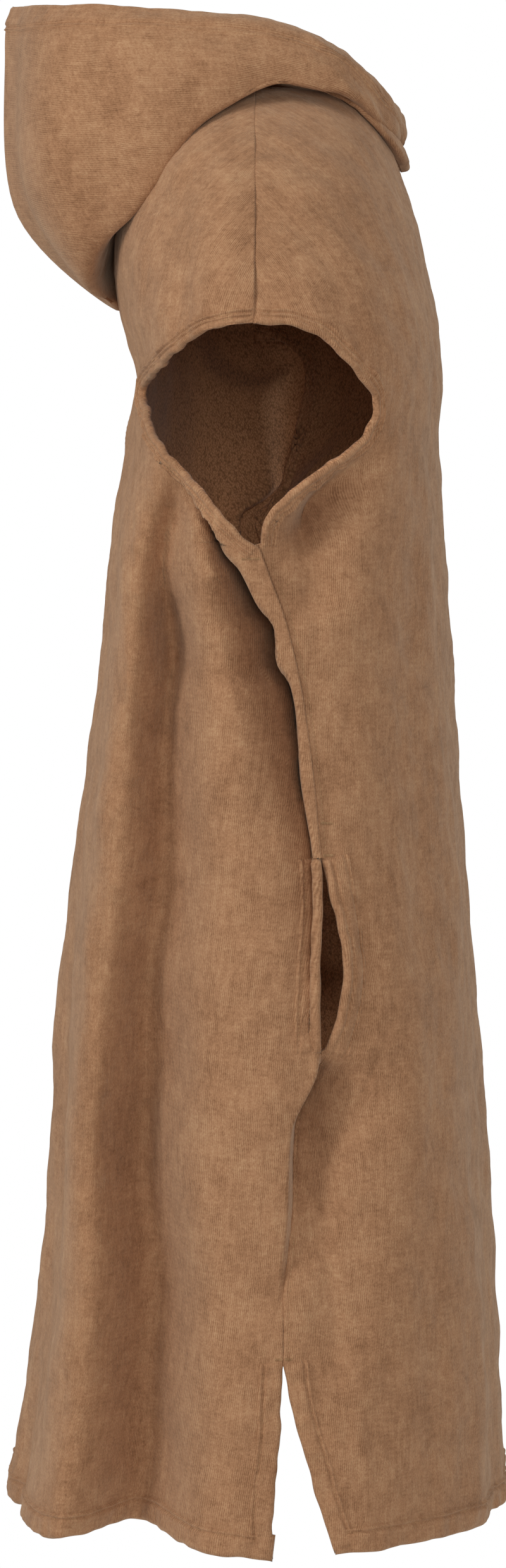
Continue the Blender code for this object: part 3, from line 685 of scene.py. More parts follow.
def turnedEdge(owner, surface, outwards, u, v, inside, kind, flatOf=None, ends=(0.002, 0.002)):
    # a turned edge: a rounded profile carried along a path on the cloth, its two
    # bands following the cloth to the stitches and sinking into it behind them
    shape = hem[kind]
    alongU, alongV, normal = surfaceFrame(surface, u, v)
    normal = normal * outwards
    path = surface(u, v)
    tangent = unit(np.gradient(path, axis=0))
    inward = unit(np.cross(normal, tangent))
    rough = alongU * inside[0] + alongV * inside[1]
    inward *= np.sign(np.sum(inward * rough, axis=1, keepdims=True))
    uu, uv = np.sum(alongU * alongU, axis=1), np.sum(alongU * alongV, axis=1)
    vv = np.sum(alongV * alongV, axis=1)
    iu, iv = np.sum(inward * alongU, axis=1), np.sum(inward * alongV, axis=1)
    size = uu * vv - uv * uv
    stepU, stepV = (iu * vv - iv * uv) / size, (iv * uu - iu * uv) / size
    length = np.concatenate([[0], np.cumsum(np.linalg.norm(np.diff(path, axis=0), axis=1))])
    radius = (shape["outside"] + shape["inside"]) / 2
    middle = (shape["outside"] - shape["inside"]) / 2
    band = np.linspace(radius, shape["width"], 16)[1:]
    tail = shape["width"] + np.array([0.0009, 0.0022])
    distance = np.concatenate([tail[::-1], band[::-1], radius * (1 - np.cos(roundings[::-1])),
                               band, tail])
    lift = radius * np.sin(roundings[::-1])
    outer = np.concatenate([[0.0006, 0.0012], np.full(len(band), radius)])
    offset = np.concatenate([outer, lift, -outer[::-1]])
    upper = np.arange(len(offset)) < len(outer) + 3
    for place in shape["stitches"]:
        offset -= np.where(upper, 1, -1) * shape["groove"] * bell(distance - place, 0.0011)
    flatShare = np.ones(len(offset))
    flatShare[:2] = flatShare[-2:] = 0
    shift = middle * flatShare
    seed = int(1000 * abs(float(path[0].sum()))) % 97
    wave = shape["wander"] * softNoise(length, 0.0, 0.022, 1.0, 300 + seed)
    fromEnd = np.clip(length / ends[0], 0, 1) if ends[0] else np.ones(len(length))
    toEnd = np.clip((length[-1] - length) / ends[1], 0, 1) if ends[1] else np.ones(len(length))
    pinch = np.sqrt(1 - (1 - fromEnd) ** 2) * np.sqrt(1 - (1 - toEnd) ** 2)
    d = distance[None, :] + wave[:, None] * np.clip(1 - distance / shape["width"], 0, 1)[None, :]
    placeU = u[:, None] + stepU[:, None] * d
    placeV = v[:, None] + stepV[:, None] * d
    _, _, normals = surfaceFrame(surface, placeU, placeV)
    ripple = shape["ripple"] * softNoise(length[:, None], distance, 0.014, 0.03, 400 + seed)
    rise = (offset + ripple * np.abs(offset) / radius + shift) * pinch[:, None]
    points = surface(placeU, placeV) + normals * outwards * rise[..., None]
    rows, columns = points.shape[:2]
    number = np.arange(rows * columns).reshape(rows, columns)
    onward = np.roll(number, -1, axis=1)
    quads = np.stack([number[:-1], number[1:], onward[1:], onward[:-1]], axis=-1).reshape(-1, 4)
    # the faces are turned round if the first of them would look inwards
    across = points[:, len(outer) // 2 + 1] - points[:, len(outer) // 2]
    looks = np.cross(tangent, across)[len(path) // 2] @ (normal[len(path) // 2])
    if looks < 0:
        quads = quads[:, ::-1]
    if flatOf is None:
        flat = np.stack([placeU, placeV], axis=-1)
    else:
        flat = np.stack(np.broadcast_arrays(d, length[:, None]), axis=-1)
    for place in shape["stitches"]:
        stitchU, stitchV = u + stepU * place, v + stepV * place
        _, _, stitchNormal = surfaceFrame(surface, stitchU, stitchV)
        line = surface(stitchU, stitchV) + stitchNormal * outwards * (
            shape["outside"] - shape["groove"] + 0.0001)
        stitchRows[owner].append((line[3:-3], (stitchNormal * outwards)[3:-3]))
    looped = np.tile(~upper, rows - 1) * (kind in ("armhole", "slit"))
    return points.reshape(-1, 3), quads, looped, flat.reshape(-1, 2)


def sideEdge(panel, side, stretch, kind, step=4, cut=(0, 0), ends=(0.002, 0.002)):
    drop, arc = edgeLines[panel, side, stretch]
    keep = slice(cut[0], len(drop) - cut[1])
    drop, arc = drop[keep][::step], arc[keep][::step]
    return turnedEdge(panel, lambda u, v: bodySurface(panel, u, v), 1 if panel == "front" else -1,
                      side * arc, drop, (-side, 0.0), kind, ends=ends)


def makeBottomHem(panel):
    length = body["length"]
    ends = [side * edgeArc(panel, side, np.array([length]))[0] for side in (right, left)]
    count = 330
    arc = np.linspace(ends[0], ends[1], count)
    return turnedEdge(panel, lambda u, v: bodySurface(panel, u, v), 1 if panel == "front" else -1,
                      arc, np.full(count, length), (0.0, -1.0), "hem", ends=(0.0035, 0.0035))


def makeArmhole(panel, side):
    return sideEdge(panel, side, armholeOf[side], "armhole", step=2)


# half the hood, one row for each section from the centre front to the nape. A row
# starts on the neckline (front or back, degrees round it) and then has points
# across: the band at the neck twice, the tuck above it, the lower roll, the side,
# the upper side and the rim of the face opening, as reach in x, y and z
hood = {
    "seamRise": 0.0036, "seamReach": 0.0020,
    "seamLap": 0.0005,      # each half runs this far past the middle, which closes the seam
    "starts": [("front", 90), ("front", 65), ("front", 42), ("front", 22), ("front", 8),
               ("front", 1), ("back", 10), ("back", 35), ("back", 62), ("back", 90)],
    "points": np.array([
        [(0.0000, -0.1165, -0.0590), (0.0000, -0.1125, -0.0490), (0.0000, -0.1050, -0.0470),
         (0.0000, -0.1105, -0.0420), (0.0000, -0.1135, -0.0310), (0.0000, -0.1115, -0.0240),
         (0.0000, -0.1065, -0.0190)],
        [(0.0430, -0.1130, -0.0530), (0.0435, -0.1075, -0.0430), (0.0360, -0.0995, -0.0410),
         (0.0520, -0.1045, -0.0370), (0.0540, -0.1045, -0.0240), (0.0500, -0.1010, -0.0130),
         (0.0420, -0.0950, -0.0070)],
        [(0.0740, -0.1000, -0.0410), (0.0750, -0.0945, -0.0310), (0.0640, -0.0870, -0.0290),
         (0.0865, -0.0915, -0.0265), (0.0855, -0.0890, -0.0110), (0.0780, -0.0865, 0.0020),
         (0.0680, -0.0810, 0.0080)],
        [(0.0905, -0.0820, -0.0245), (0.0925, -0.0775, -0.0155), (0.0820, -0.0710, -0.0135),
         (0.1085, -0.0755, -0.0130), (0.1085, -0.0700, 0.0030), (0.0985, -0.0660, 0.0170),
         (0.0850, -0.0610, 0.0235)],
        [(0.0970, -0.0600, -0.0095), (0.0985, -0.0560, -0.0040), (0.1080, -0.0530, 0.0000),
         (0.1225, -0.0530, -0.0065), (0.1230, -0.0475, 0.0120), (0.1120, -0.0440, 0.0270),
         (0.0970, -0.0400, 0.0345)],
        [(0.0990, -0.0160, 0.0045), (0.1060, -0.0150, 0.0050), (0.1230, -0.0135, 0.0040),
         (0.1375, -0.0110, -0.0045), (0.1375, -0.0060, 0.0160), (0.1240, -0.0040, 0.0360),
         (0.1080, -0.0020, 0.0465)],
        [(0.0990, 0.0320, 0.0020), (0.1120, 0.0345, -0.0010), (0.1370, 0.0390, -0.0150),
         (0.1535, 0.0440, -0.0345), (0.1525, 0.0520, 0.0020), (0.1350, 0.0540, 0.0360),
         (0.1160, 0.0540, 0.0505)],
        [(0.0870, 0.0720, -0.0160), (0.1020, 0.0810, -0.0370), (0.1320, 0.0910, -0.0740),
         (0.1510, 0.0880, -0.0940), (0.1530, 0.1040, -0.0290), (0.1360, 0.1060, 0.0310),
         (0.1140, 0.1020, 0.0540)],
        [(0.0540, 0.0968, -0.0440), (0.0620, 0.1035, -0.0700), (0.0200, 0.1110, -0.1200),
         (0.1040, 0.1245, -0.1410), (0.1270, 0.1530, -0.0650), (0.1120, 0.1540, 0.0240),
         (0.0900, 0.1480, 0.0570)],
        [(0.0000, 0.1040, -0.0530), (0.0000, 0.1085, -0.0850), (0.0000, 0.1076, -0.1330),
         (0.0000, 0.1070, -0.1660), (0.0000, 0.1825, -0.0930), (0.0000, 0.1905, 0.0290),
         (0.0000, 0.1850, 0.0630)],
    ]),
    # soft folds: centre and size round the hood, centre and size up it, depth
    "folds": [
        (7.55, 0.30, 4.2, 0.9, 0.0045), (6.4, 0.45, 4.4, 0.8, -0.0030),
        (8.35, 0.30, 4.7, 1.1, -0.0035), (5.0, 0.50, 4.1, 0.5, 0.0020),
        (3.6, 0.60, 4.6, 0.6, -0.0018), (7.1, 0.25, 5.6, 0.8, 0.0022),
        (8.7, 0.16, 5.2, 1.6, 0.0025),
    ],
    "across": np.concatenate([[0, 0.006, 0.015, 0.03, 0.05], np.linspace(0.09, 8.95, 138),
                              [8.975, 8.988, 8.995, 8.9985, 9.0]]),
    "up": np.concatenate([[0, 0.03, 0.08, 0.16], np.linspace(0.26, 3.2, 34),
                          np.linspace(3.3, 6.88, 44)]),
}


def hoodSections():
    starts = []
    for panel, turn in hood["starts"]:
        drop = np.array([body["neckDrop"][panel] * math.sin(math.radians(turn))])
        reach = body["neckHalfWidth"] * math.cos(math.radians(turn))
        angle = angleAtReach(drop, reach, panel)
        x, y, _, _ = sectionPoint(drop, angle)
        outwards = -hood["seamReach"] if panel == "front" else hood["seamReach"]
        starts.append((x[0], y[0] + outwards, hood["seamRise"] - drop[0]))
    return np.concatenate([np.array(starts)[:, None], hood["points"]], axis=1)


hoodRows = hoodSections()


def curveShares(at, count):
    # how much each of a curve's rows counts at a place along it
    return smoothCurve(at, np.arange(count, dtype=float), np.eye(count))


def hoodBase(side, u, v):
    # a smooth sheet through the sections: u runs from the centre front to the
    # nape, v from the neckline to the rim
    shape = np.shape(u)
    u, v = np.ravel(u), np.ravel(v)
    # past the seams it goes on as the mirrored half
    mirrored = np.where((u < 0) | (u > 9), -1, 1)
    u = np.abs(u)
    u = 9 - np.abs(9 - u)
    around = curveShares(u, hoodRows.shape[0]) @ hoodRows.reshape(hoodRows.shape[0], -1)
    around = around.reshape(len(u), hoodRows.shape[1], 3)
    points = np.sum(curveShares(v, hoodRows.shape[1])[:, :, None] * around, axis=1)
    points[:, 0] = side * (points[:, 0] * mirrored - hood["seamLap"])
    return points.reshape(shape + (3,))


def hoodSurface(side, u, v):
    u, v = np.broadcast_arrays(np.asarray(u, float), np.asarray(v, float))
    _, _, normal = surfaceFrame(lambda a, b: hoodBase(side, a, b), u, v, 0.02)
    normal = normal * -side
    push = np.zeros(u.shape)
    for centreU, sizeU, centreV, sizeV, depth in hood["folds"]:
        push += depth * bell(u - centreU, sizeU) * bell(v - centreV, sizeV)
    push += 0.0007 * softNoise(u * side, v, 1.1, 1.3, 71)
    push += 0.0002 * softNoise(u * side, v, 0.45, 0.6, 72)
    fade = smoothStep(u / 0.25) * smoothStep((9 - u) / 0.12) * smoothStep(v / 0.8)
    return hoodBase(side, u, v) - normal * (push * fade)[..., None]


def makeHoodHalf(side):
    u, v = np.meshgrid(hood["across"], hood["up"], indexing="ij")
    surface = lambda a, b: hoodSurface(side, a, b)
    points = surface(u, v)
    _, _, normal = surfaceFrame(surface, u, v, 0.01)
    normal = normal * -side
    rounding = np.minimum(np.minimum(u, 9 - u) / 0.04, 1)
    half = cloth["half"] * np.sqrt(1 - (1 - np.clip(rounding, 0, 1)) ** 2) + 0.0001
    quads = gridFaces(*u.shape)
    if side == right:
        quads = quads[:, ::-1]
    # flat cloth: distance from the rim, and length round the hood
    upLength = np.cumsum(np.linalg.norm(np.diff(points, axis=1), axis=2)[:, ::-1], axis=1)
    fromRim = np.concatenate([np.zeros((len(u), 1)), upLength], axis=1)[:, ::-1]
    round_ = np.cumsum(np.linalg.norm(np.diff(points, axis=0), axis=2), axis=0)
    round_ = np.concatenate([np.zeros((1, u.shape[1])), round_], axis=0)
    flat = np.stack([fromRim + cloth["inset"], side * round_], axis=-1).reshape(-1, 2)
    return clothShell(points.reshape(-1, 3), normal.reshape(-1, 3), half.ravel(), flat, quads)


def makeRim(side, owner):
    u = np.linspace(0.0, 9.0, 260)
    return turnedEdge(owner, lambda a, b: hoodSurface(side, a, b), -side, u,
                      np.full(len(u), 7.0), (0.0, -1.0), "rim", flatOf="rim",
                      ends=(0.0016, 0.0016))


# single stitches: a short thread that sinks into the pile at both ends
thread = {"pitch": 0.0031, "length": 0.0023, "radius": 0.00033, "sides": 6}


def makeStitches(name, lines, material):
    along = np.linspace(-1, 1, 7)
    thick = np.sqrt(np.clip(1 - along ** 4, 0.02, 1))
    sink = -0.9 * along ** 2
    turn = np.linspace(0, tau, thread["sides"], endpoint=False)
    places, normals, headings = [], [], []
    for line, lineNormals in lines:
        length = np.concatenate([[0], np.cumsum(np.linalg.norm(np.diff(line, axis=0), axis=1))])
        count = int(length[-1] / thread["pitch"])
        at = (np.arange(count) + 0.5) * thread["pitch"]
        places.append(np.stack([np.interp(at, length, line[:, k]) for k in range(3)], axis=1))
        normals.append(np.stack([np.interp(at, length, lineNormals[:, k]) for k in range(3)],
                                axis=1))
        slope = np.gradient(line, length, axis=0)
        headings.append(np.stack([np.interp(at, length, slope[:, k]) for k in range(3)], axis=1))
    place, normal = np.concatenate(places), unit(np.concatenate(normals))
    heading = unit(np.concatenate(headings))
    across = unit(np.cross(normal, heading))
    radius = thread["radius"]
    # each ring of a stitch, in the order stitch, ring, side
    ringPlace = (place[:, None, None] + heading[:, None, None] * (
        along[None, :, None, None] * thread["length"] / 2))
    ringPlace = ringPlace + normal[:, None, None] * (sink * radius)[None, :, None, None]
    out = across[:, None, None] * np.cos(turn)[None, None, :, None]
    out = out + normal[:, None, None] * np.sin(turn)[None, None, :, None]
    points = ringPlace + out * (radius * thick)[None, :, None, None]
    count, rings, sides = points.shape[:3]
    number = np.arange(count * rings * sides).reshape(count, rings, sides)
    onward = np.roll(number, -1, axis=2)
    walls = np.stack([number[:, :-1], onward[:, :-1], onward[:, 1:], number[:, 1:]], axis=-1)
    caps = [number[:, 0, (0, 5, 4, 3)], number[:, 0, (3, 2, 1, 0)],
            number[:, -1, (0, 1, 2, 3)], number[:, -1, (3, 4, 5, 0)]]
    quads = np.concatenate([walls.reshape(-1, 4)] + caps)
    flat = np.zeros((count * rings * sides, 2))
    return makeMesh(name, points.reshape(-1, 3), quads, np.zeros(len(quads)), flat, [material])


def fromHex(text):
    # sRGB colour as linear light
    parts = [int(text[k:k + 2], 16) / 255 for k in (1, 3, 5)]
    return [p / 12.92 if p <= 0.04045 else ((p + 0.055) / 1.055) ** 2.4 for p in parts] + [1.0]


def addNode(tree, kind, sockets=None, **settings):
    # one shader node; a socket takes a value or another node's output
    node = tree.nodes.new(kind)
    for setting, value in settings.items():
        setattr(node, setting, value)
    for socket, value in (sockets or {}).items():
        if isinstance(value, bpy.types.NodeSocket):
            tree.links.new(value, node.inputs[socket])
        else:
            node.inputs[socket].default_value = value
    return node


def addMath(tree, operation, *values):
    return addNode(tree, "ShaderNodeMath", dict(enumerate(values)), operation=operation).outputs[0]


def addRamp(tree, amount, stops):
    ramp = addNode(tree, "ShaderNodeValToRGB", {0: amount})
    ramp.color_ramp.elements.remove(ramp.color_ramp.elements[1])
    for number, (place, colour) in enumerate(stops):
        stop = ramp.color_ramp.elements[0] if number == 0 else ramp.color_ramp.elements.new(place)
        stop.position = place
        stop.color = fromHex(colour)
    return ramp.outputs[0]


def newMaterial(name):
    material = bpy.data.materials.new(name)
    material.use_nodes = True
    material.node_tree.nodes.clear()
    return material, material.node_tree


def addPile(tree, coordinates, size, detail=2.0, roughness=0.5, warp=0.0):
    # noise from 0 to 1 with features of the given size in metres
    return addNode(tree, "ShaderNodeTexNoise", {
        "Vector": coordinates, "Scale": 1 / size, "Detail": detail, "Roughness": roughness,
        "Distortion": warp}).outputs[0]


velour = {
    "rib": 0.00135,         # width of one row of pile
    # how much the grooves between rows are darkened in colour (painted shade), and the rows' height
    "ribGroovePaintedShade": 0.19, "ribHeight": 0.00014,
    "ribPatch": 0.016, "wornRange": (0.38, 0.62), "wornLeast": 0.25,    # rows brushed flat
    "drift": 0.016, "driftSize": 0.0009,    # how far and how often rows wander
    "patch": 0.038, "patchShade": 0.34,     # crushed nap
    "fleck": 0.0075, "fleckShade": 0.30,
    "streak": (0.0030, 0.022), "streakShade": 0.26,
    "dash": (0.0110, 0.0026), "dashShade": 0.16,
    "pile": (0.0011, 0.0020), "pileShade": 0.36, "pileHeight": 0.00032,
    "grit": 0.0007, "gritShade": 0.26,
    "crumple": 0.0060, "crumpleHeight": 0.00030,
    "colours": ((0.0, "#5A3C29"), (0.30, "#876043"), (0.52, "#A57A59"), (0.75, "#BB946F"),
                (1.0, "#D1AF8B")),
}


def makeVelour():
    # sheared terry: rows of short pile along the cloth, with painted shade in the grooves between
    # the rows, brushed into patches that catch the light differently
    material, tree = newMaterial("terry velour")
    place = addNode(tree, "ShaderNodeTexCoord").outputs["Object"]
    flat = addNode(tree, "ShaderNodeUVMap", uv_map="clothMetres").outputs[0]
    split = addNode(tree, "ShaderNodeSeparateXYZ", {0: flat})
    wander = addPile(tree, flat, velour["drift"], 1.0)
    across = addMath(tree, "MULTIPLY_ADD", wander, velour["driftSize"], split.outputs[0])
    turn = addMath(tree, "MULTIPLY", across, tau / velour["rib"])
    rib = addMath(tree, "MULTIPLY_ADD", addMath(tree, "COSINE", turn), 0.5, 0.5)
    width, length = velour["streak"]
    streakPlace = addNode(tree, "ShaderNodeVectorMath", {
        0: flat, 1: (1 / width, 1 / length, 1)}, operation="MULTIPLY").outputs[0]
    streak = addPile(tree, streakPlace, 1.0, 2.0)
    width, length = velour["dash"]
    dashPlace = addNode(tree, "ShaderNodeVectorMath", {
        0: flat, 1: (1 / width, 1 / length, 1)}, operation="MULTIPLY").outputs[0]
    dash = addPile(tree, dashPlace, 1.0, 1.0)
    patch = addPile(tree, place, velour["patch"], 3.0, 0.55, 0.6)
    fleck = addPile(tree, place, velour["fleck"], 2.0, 0.6, 0.8)
    width, length = velour["pile"]
    pilePlace = addNode(tree, "ShaderNodeVectorMath", {
        0: flat, 1: (1 / width, 1 / length, 1)}, operation="MULTIPLY").outputs[0]
    pile = addPile(tree, pilePlace, 1.0, 1.5)
    grit = addPile(tree, place, velour["grit"], 1.0)
    shade = 0.5
    for amount, strength in ((patch, "patchShade"), (fleck, "fleckShade"), (streak, "streakShade"),
                             (dash, "dashShade"), (pile, "pileShade"), (grit, "gritShade")):
        level = addMath(tree, "SUBTRACT", amount, 0.5)
        shade = addMath(tree, "MULTIPLY_ADD", level, velour[strength], shade)
    worn = addNode(tree, "ShaderNodeMapRange", {
        "Value": addPile(tree, place, velour["ribPatch"], 1.0),
        "From Min": velour["wornRange"][0], "From Max": velour["wornRange"][1],
        "To Min": velour["wornLeast"], "To Max": 1.0}).outputs[0]
    # the grooves between the rows of pile are darkened in colour: painted shade, weaker where the
    # rows are brushed flat
    level = addMath(tree, "MULTIPLY", addMath(tree, "SUBTRACT", rib, 0.6), worn)
    shade = addMath(tree, "MULTIPLY_ADD", level, velour["ribGroovePaintedShade"], shade)
    colour = addRamp(tree, shade, velour["colours"])
    height = addMath(tree, "MULTIPLY", addMath(tree, "MULTIPLY", rib, worn), velour["ribHeight"])
    height = addMath(tree, "MULTIPLY_ADD", pile, velour["pileHeight"], height)
    crumple = addPile(tree, place, velour["crumple"], 2.0)
    height = addMath(tree, "MULTIPLY_ADD", crumple, velour["crumpleHeight"], height)
    bump = addNode(tree, "ShaderNodeBump", {"Strength": 1.0, "Distance": 1.0, "Height": height})
    surface = addNode(tree, "ShaderNodeBsdfPrincipled", {
        "Base Color": colour, "Roughness": 0.94, "Specular IOR Level": 0.12,
        "Sheen Weight": 0.30, "Sheen Roughness": 0.45, "Sheen Tint": fromHex("#E9D6BD"),
        "Normal": bump.outputs[0]})
    addNode(tree, "ShaderNodeOutputMaterial", {0: surface.outputs[0]})
    return material


loops = {
    "pitch": 0.0012, "stretch": 1.6, "height": 0.0004,
    "patch": 0.030, "patchShade": 0.35,
    "colours": ((0.0, "#865F42"), (0.45, "#B9865F"), (1.0, "#D3A47C")),
}


def makeLoops():
    # looped terry: slanting rows of small loops, with painted shade between them
    material, tree = newMaterial("terry loops")
    place = addNode(tree, "ShaderNodeTexCoord").outputs["Object"]
    flat = addNode(tree, "ShaderNodeUVMap", uv_map="clothMetres").outputs[0]
    slanted = addNode(tree, "ShaderNodeMapping", {
        "Vector": flat, "Rotation": (0, 0, math.radians(52)),
        "Scale": (1 / loops["pitch"], 1 / (loops["pitch"] * loops["stretch"]), 1)}).outputs[0]
    cell = addNode(tree, "ShaderNodeTexVoronoi", {"Vector": slanted, "Scale": 1.0,
                                                  "Randomness": 0.75})
    loop = addMath(tree, "SUBTRACT", 0.85, cell.outputs["Distance"])
    patch = addPile(tree, place, loops["patch"], 3.0)
    shade = addMath(tree, "MULTIPLY_ADD", addMath(tree, "SUBTRACT", patch, 0.5),
                    loops["patchShade"], loop)
    # the colour darkens away from each loop's middle: painted shade between the loops, with random
    # patches of tone on top
    colour = addRamp(tree, shade, loops["colours"])
    height = addMath(tree, "MULTIPLY", loop, loops["height"])
    bump = addNode(tree, "ShaderNodeBump", {"Strength": 1.0, "Distance": 1.0, "Height": height})
    surface = addNode(tree, "ShaderNodeBsdfPrincipled", {
        "Base Color": colour, "Roughness": 0.95, "Specular IOR Level": 0.10,
        "Sheen Weight": 0.10, "Normal": bump.outputs[0]})
    addNode(tree, "ShaderNodeOutputMaterial", {0: surface.outputs[0]})
    return material


def makeThread():
    # spun sewing thread in the colour of the cloth
    material, tree = newMaterial("sewing thread")
    place = addNode(tree, "ShaderNodeTexCoord").outputs["Object"]
    colour = addRamp(tree, addPile(tree, place, 0.004, 1.0), ((0.3, "#9A7450"), (0.7, "#B8926A")))
    surface = addNode(tree, "ShaderNodeBsdfPrincipled", {
        "Base Color": colour, "Roughness": 0.7, "Specular IOR Level": 0.3})
    addNode(tree, "ShaderNodeOutputMaterial", {0: surface.outputs[0]})
    return material


velourMaterial, loopMaterial, threadMaterial = makeVelour(), makeLoops(), makeThread()
print("materials made")


def closePinches(piece):
    # the pinched ends of turned edges and rounded-off cloth become single points
    work = bmesh.new()
    work.from_mesh(piece.data)
    bmesh.ops.remove_doubles(work, verts=work.verts, dist=0.00002)
    bmesh.ops.dissolve_degenerate(work, edges=work.edges, dist=0.000005)
    work.to_mesh(piece.data)
    work.free()


# rows of stitches beside the front panel's sewn edge: stretch, drop at both ends
seamRows = [("sideSeam", 0.345, 0.560), ("lowSeam", 0.709, 0.925)]


def sideSeamLine(side):
    for stretch, first, last in seamRows:
        drop, arc = edgeLines["front", side, stretch]
        keep = (drop > first) & (drop < last)
        drop, arc = drop[keep][::3], arc[keep][::3] - cloth["seamGroove"][0]
        surface = lambda u, v: bodySurface("front", u, v)
        _, _, normal = surfaceFrame(surface, side * arc, drop)
        lift = cloth["half"] - cloth["seamGroove"][2] + 0.0001
        line = surface(side * arc, drop) + normal * lift
        stitchRows["front"].append((line, normal))


# bar tacks of close stitches at the ends of the openings: drop, first place from
# the edge, length
tacks = {
    "front": [(0.538, 0.0012, 0.0095), (0.5615, 0.0012, 0.0075), (0.9265, 0.0010, 0.0050)],
    "back": [(0.3475, 0.0030, 0.0120), (0.9265, 0.0010, 0.0050)],
    "step": 0.0009, "reach": 0.0017, "rise": 0.0004,
}


def makeTacks(panel, side):
    outwards = 1 if panel == "front" else -1
    surface = lambda u, v: bodySurface(panel, u, v)
    for drop, first, length in tacks[panel]:
        edge = edgeArc(panel, side, drop)
        for place in np.arange(first, first + length, tacks["step"]):
            v = drop + tacks["reach"] * np.array([-1.0, 0.0, 1.0])
            u = np.full(3, side * (edge - place))
            _, _, normal = surfaceFrame(surface, u, v)
            normal = normal * outwards
            line = surface(u, v) + normal * (cloth["half"] + tacks["rise"])
            stitchRows[panel].append((line, normal))


nodeOf = {"front": "front_panel", "back": "back_panel"}
for panel in ("front", "back"):
    shell = makePanel(panel)
    clothPiece = makeMesh(panel + "_cloth", *shell, [velourMaterial, loopMaterial])
    print(panel, "cloth:", len(shell[1]), "faces")
    parts = [makeBottomHem(panel)]
    for side in (right, left):
        parts.append(makeArmhole(panel, side))
        parts.append(sideEdge(panel, side, slitOf[side], "slit", ends=(0.003, 0.030)))
        parts.append(sideEdge(panel, side, "sideVent", "vent", ends=(0.002, 0.0012)))
        makeTacks(panel, side)
        if panel == "front":
            sideSeamLine(side)
    hemPiece = makeMesh(panel + "_hems", *joinParts(parts), [velourMaterial, loopMaterial])
    closePinches(hemPiece)
    stitchPiece = makeStitches(panel + "_stitches", stitchRows[panel], threadMaterial)
    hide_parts(nodeOf[panel])
    for piece in (clothPiece, hemPiece, stitchPiece):
        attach(piece, "root")
    print(panel, "hems and stitches:", len(hemPiece.data.polygons), len(stitchPiece.data.polygons))

for side, owner in ((right, "hood_right"), (left, "hood_left")):
    shell = makeHoodHalf(side)
    clothPiece = makeMesh(owner + "_cloth", *shell, [velourMaterial, loopMaterial])
    rimPiece = makeMesh(owner + "_rim", *makeRim(side, owner), [velourMaterial])
    closePinches(rimPiece)
    stitchPiece = makeStitches(owner + "_stitches", stitchRows[owner], threadMaterial)
    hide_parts(owner)
    for piece in (clothPiece, rimPiece, stitchPiece):
        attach(piece, "root")
    print(owner, "faces:", len(shell[1]), len(rimPiece.data.polygons))


# floor, light and camera

stage = {
    "floorDrop": -1.52, "floorRadius": 1.4, "paper": "#F4F3F1", "glow": 0.32,
    "skyLight": 0.45,
    # name, place, aimed at, width and height, watts
    "lamps": [
        ("left softbox", (-1.9, 2.6, 1.2), (0.0, 0.0, -0.4), (0.9, 1.8), 50),
        ("front softbox", (-4.6, -0.35, 0.30), (0.0, 0.0, -0.55), (1.2, 1.2), 58),
        ("top softbox", (-1.2, -0.9, 2.2), (0.0, 0.0, 0.0), (1.4, 1.4), 6),
    ],
    "cameraPlace": (-3.6, 0.002, -0.22), "cameraTilt": 4.947, "lens": 107.338,
}


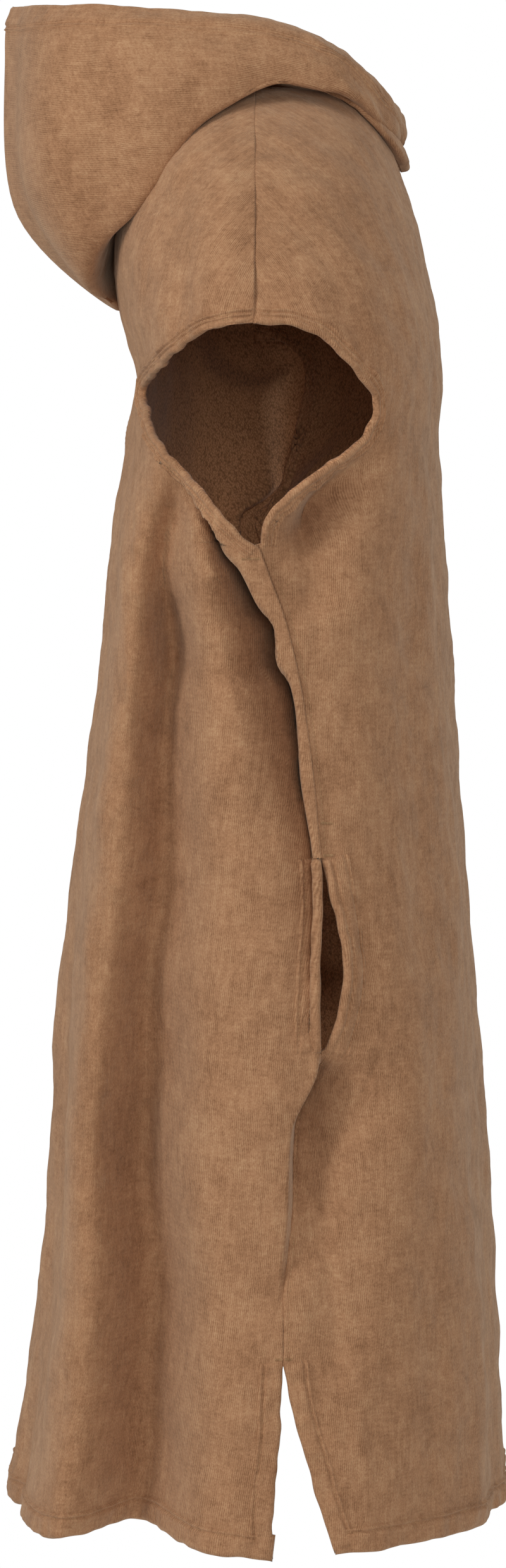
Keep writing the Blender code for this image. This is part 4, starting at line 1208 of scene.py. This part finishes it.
def makeFloor():
    # a round sheet of pale paper that fades out towards its edge
    turn = np.linspace(0, tau, 96, endpoint=False)
    ring = np.stack([np.cos(turn), np.sin(turn)], axis=1) * stage["floorRadius"]
    mesh = bpy.data.meshes.new("floor")
    points = [(x, y, stage["floorDrop"]) for x, y in ring]
    mesh.from_pydata(points, [], [list(range(96))])
    material, tree = newMaterial("pale paper")
    place = addNode(tree, "ShaderNodeTexCoord").outputs["Object"]
    split = addNode(tree, "ShaderNodeSeparateXYZ", {0: place})
    flat = addNode(tree, "ShaderNodeCombineXYZ", {0: split.outputs[0], 1: split.outputs[1]})
    far = addNode(tree, "ShaderNodeVectorMath", {0: flat.outputs[0]}, operation="LENGTH")
    fade = addNode(tree, "ShaderNodeMapRange", {
        "Value": far.outputs["Value"], "From Min": 0.5 * stage["floorRadius"],
        "From Max": 0.97 * stage["floorRadius"], "To Min": 1.0, "To Max": 0.0})
    paper = addNode(tree, "ShaderNodeBsdfDiffuse", {"Color": fromHex(stage["paper"])})
    # lifted to the white of the studio where it is seen, not where it lights the cloth
    seen = addNode(tree, "ShaderNodeLightPath").outputs["Is Camera Ray"]
    strength = addMath(tree, "MULTIPLY", seen, stage["glow"])
    glow = addNode(tree, "ShaderNodeEmission", {
        "Color": fromHex(stage["paper"]), "Strength": strength})
    paper = addNode(tree, "ShaderNodeAddShader", {0: paper.outputs[0], 1: glow.outputs[0]})
    clear = addNode(tree, "ShaderNodeBsdfTransparent")
    mix = addNode(tree, "ShaderNodeMixShader", {
        0: fade.outputs[0], 1: clear.outputs[0], 2: paper.outputs[0]})
    addNode(tree, "ShaderNodeOutputMaterial", {0: mix.outputs[0]})
    mesh.materials.append(material)
    floor = bpy.data.objects.new("floor", mesh)
    bpy.context.scene.collection.objects.link(floor)


def makeLamp(name, place, target, size, watts):
    light = bpy.data.lights.new(name, "AREA")
    light.shape = "RECTANGLE"
    light.size, light.size_y = size
    light.energy = watts
    lamp = bpy.data.objects.new(name, light)
    lamp.location = place
    lamp.rotation_euler = (Vector(target) - Vector(place)).to_track_quat("-Z", "Y").to_euler()
    bpy.context.scene.collection.objects.link(lamp)


def makeWorld():
    # white behind the garment, and a softer white light on it
    world = bpy.data.worlds.new("white studio")
    world.use_nodes = True
    tree = world.node_tree
    tree.nodes.clear()
    seen = addNode(tree, "ShaderNodeLightPath").outputs["Is Camera Ray"]
    strength = addMath(tree, "MULTIPLY_ADD", seen, 1.0 - stage["skyLight"], stage["skyLight"])
    white = addNode(tree, "ShaderNodeBackground", {
        "Color": (1.0, 1.0, 1.0, 1.0), "Strength": strength})
    addNode(tree, "ShaderNodeOutputWorld", {0: white.outputs[0]})
    bpy.context.scene.world = world


def makeCamera():
    lens = bpy.data.cameras.new("camera")
    lens.lens = stage["lens"]
    lens.sensor_width = 36.0
    lens.dof.use_dof = False
    camera = bpy.data.objects.new("camera", lens)
    camera.location = stage["cameraPlace"]
    tilt = math.radians(stage["cameraTilt"])
    view = Vector((math.cos(tilt), 0.0, -math.sin(tilt)))
    camera.rotation_euler = view.to_track_quat("-Z", "Y").to_euler()
    bpy.context.scene.collection.objects.link(camera)
    bpy.context.scene.camera = camera


makeFloor()
for lamp in stage["lamps"]:
    makeLamp(*lamp)
makeWorld()
makeCamera()
bpy.context.scene.view_settings.view_transform = "Standard"
bpy.context.scene.view_settings.look = "None"
print("stage, lamps and camera placed")
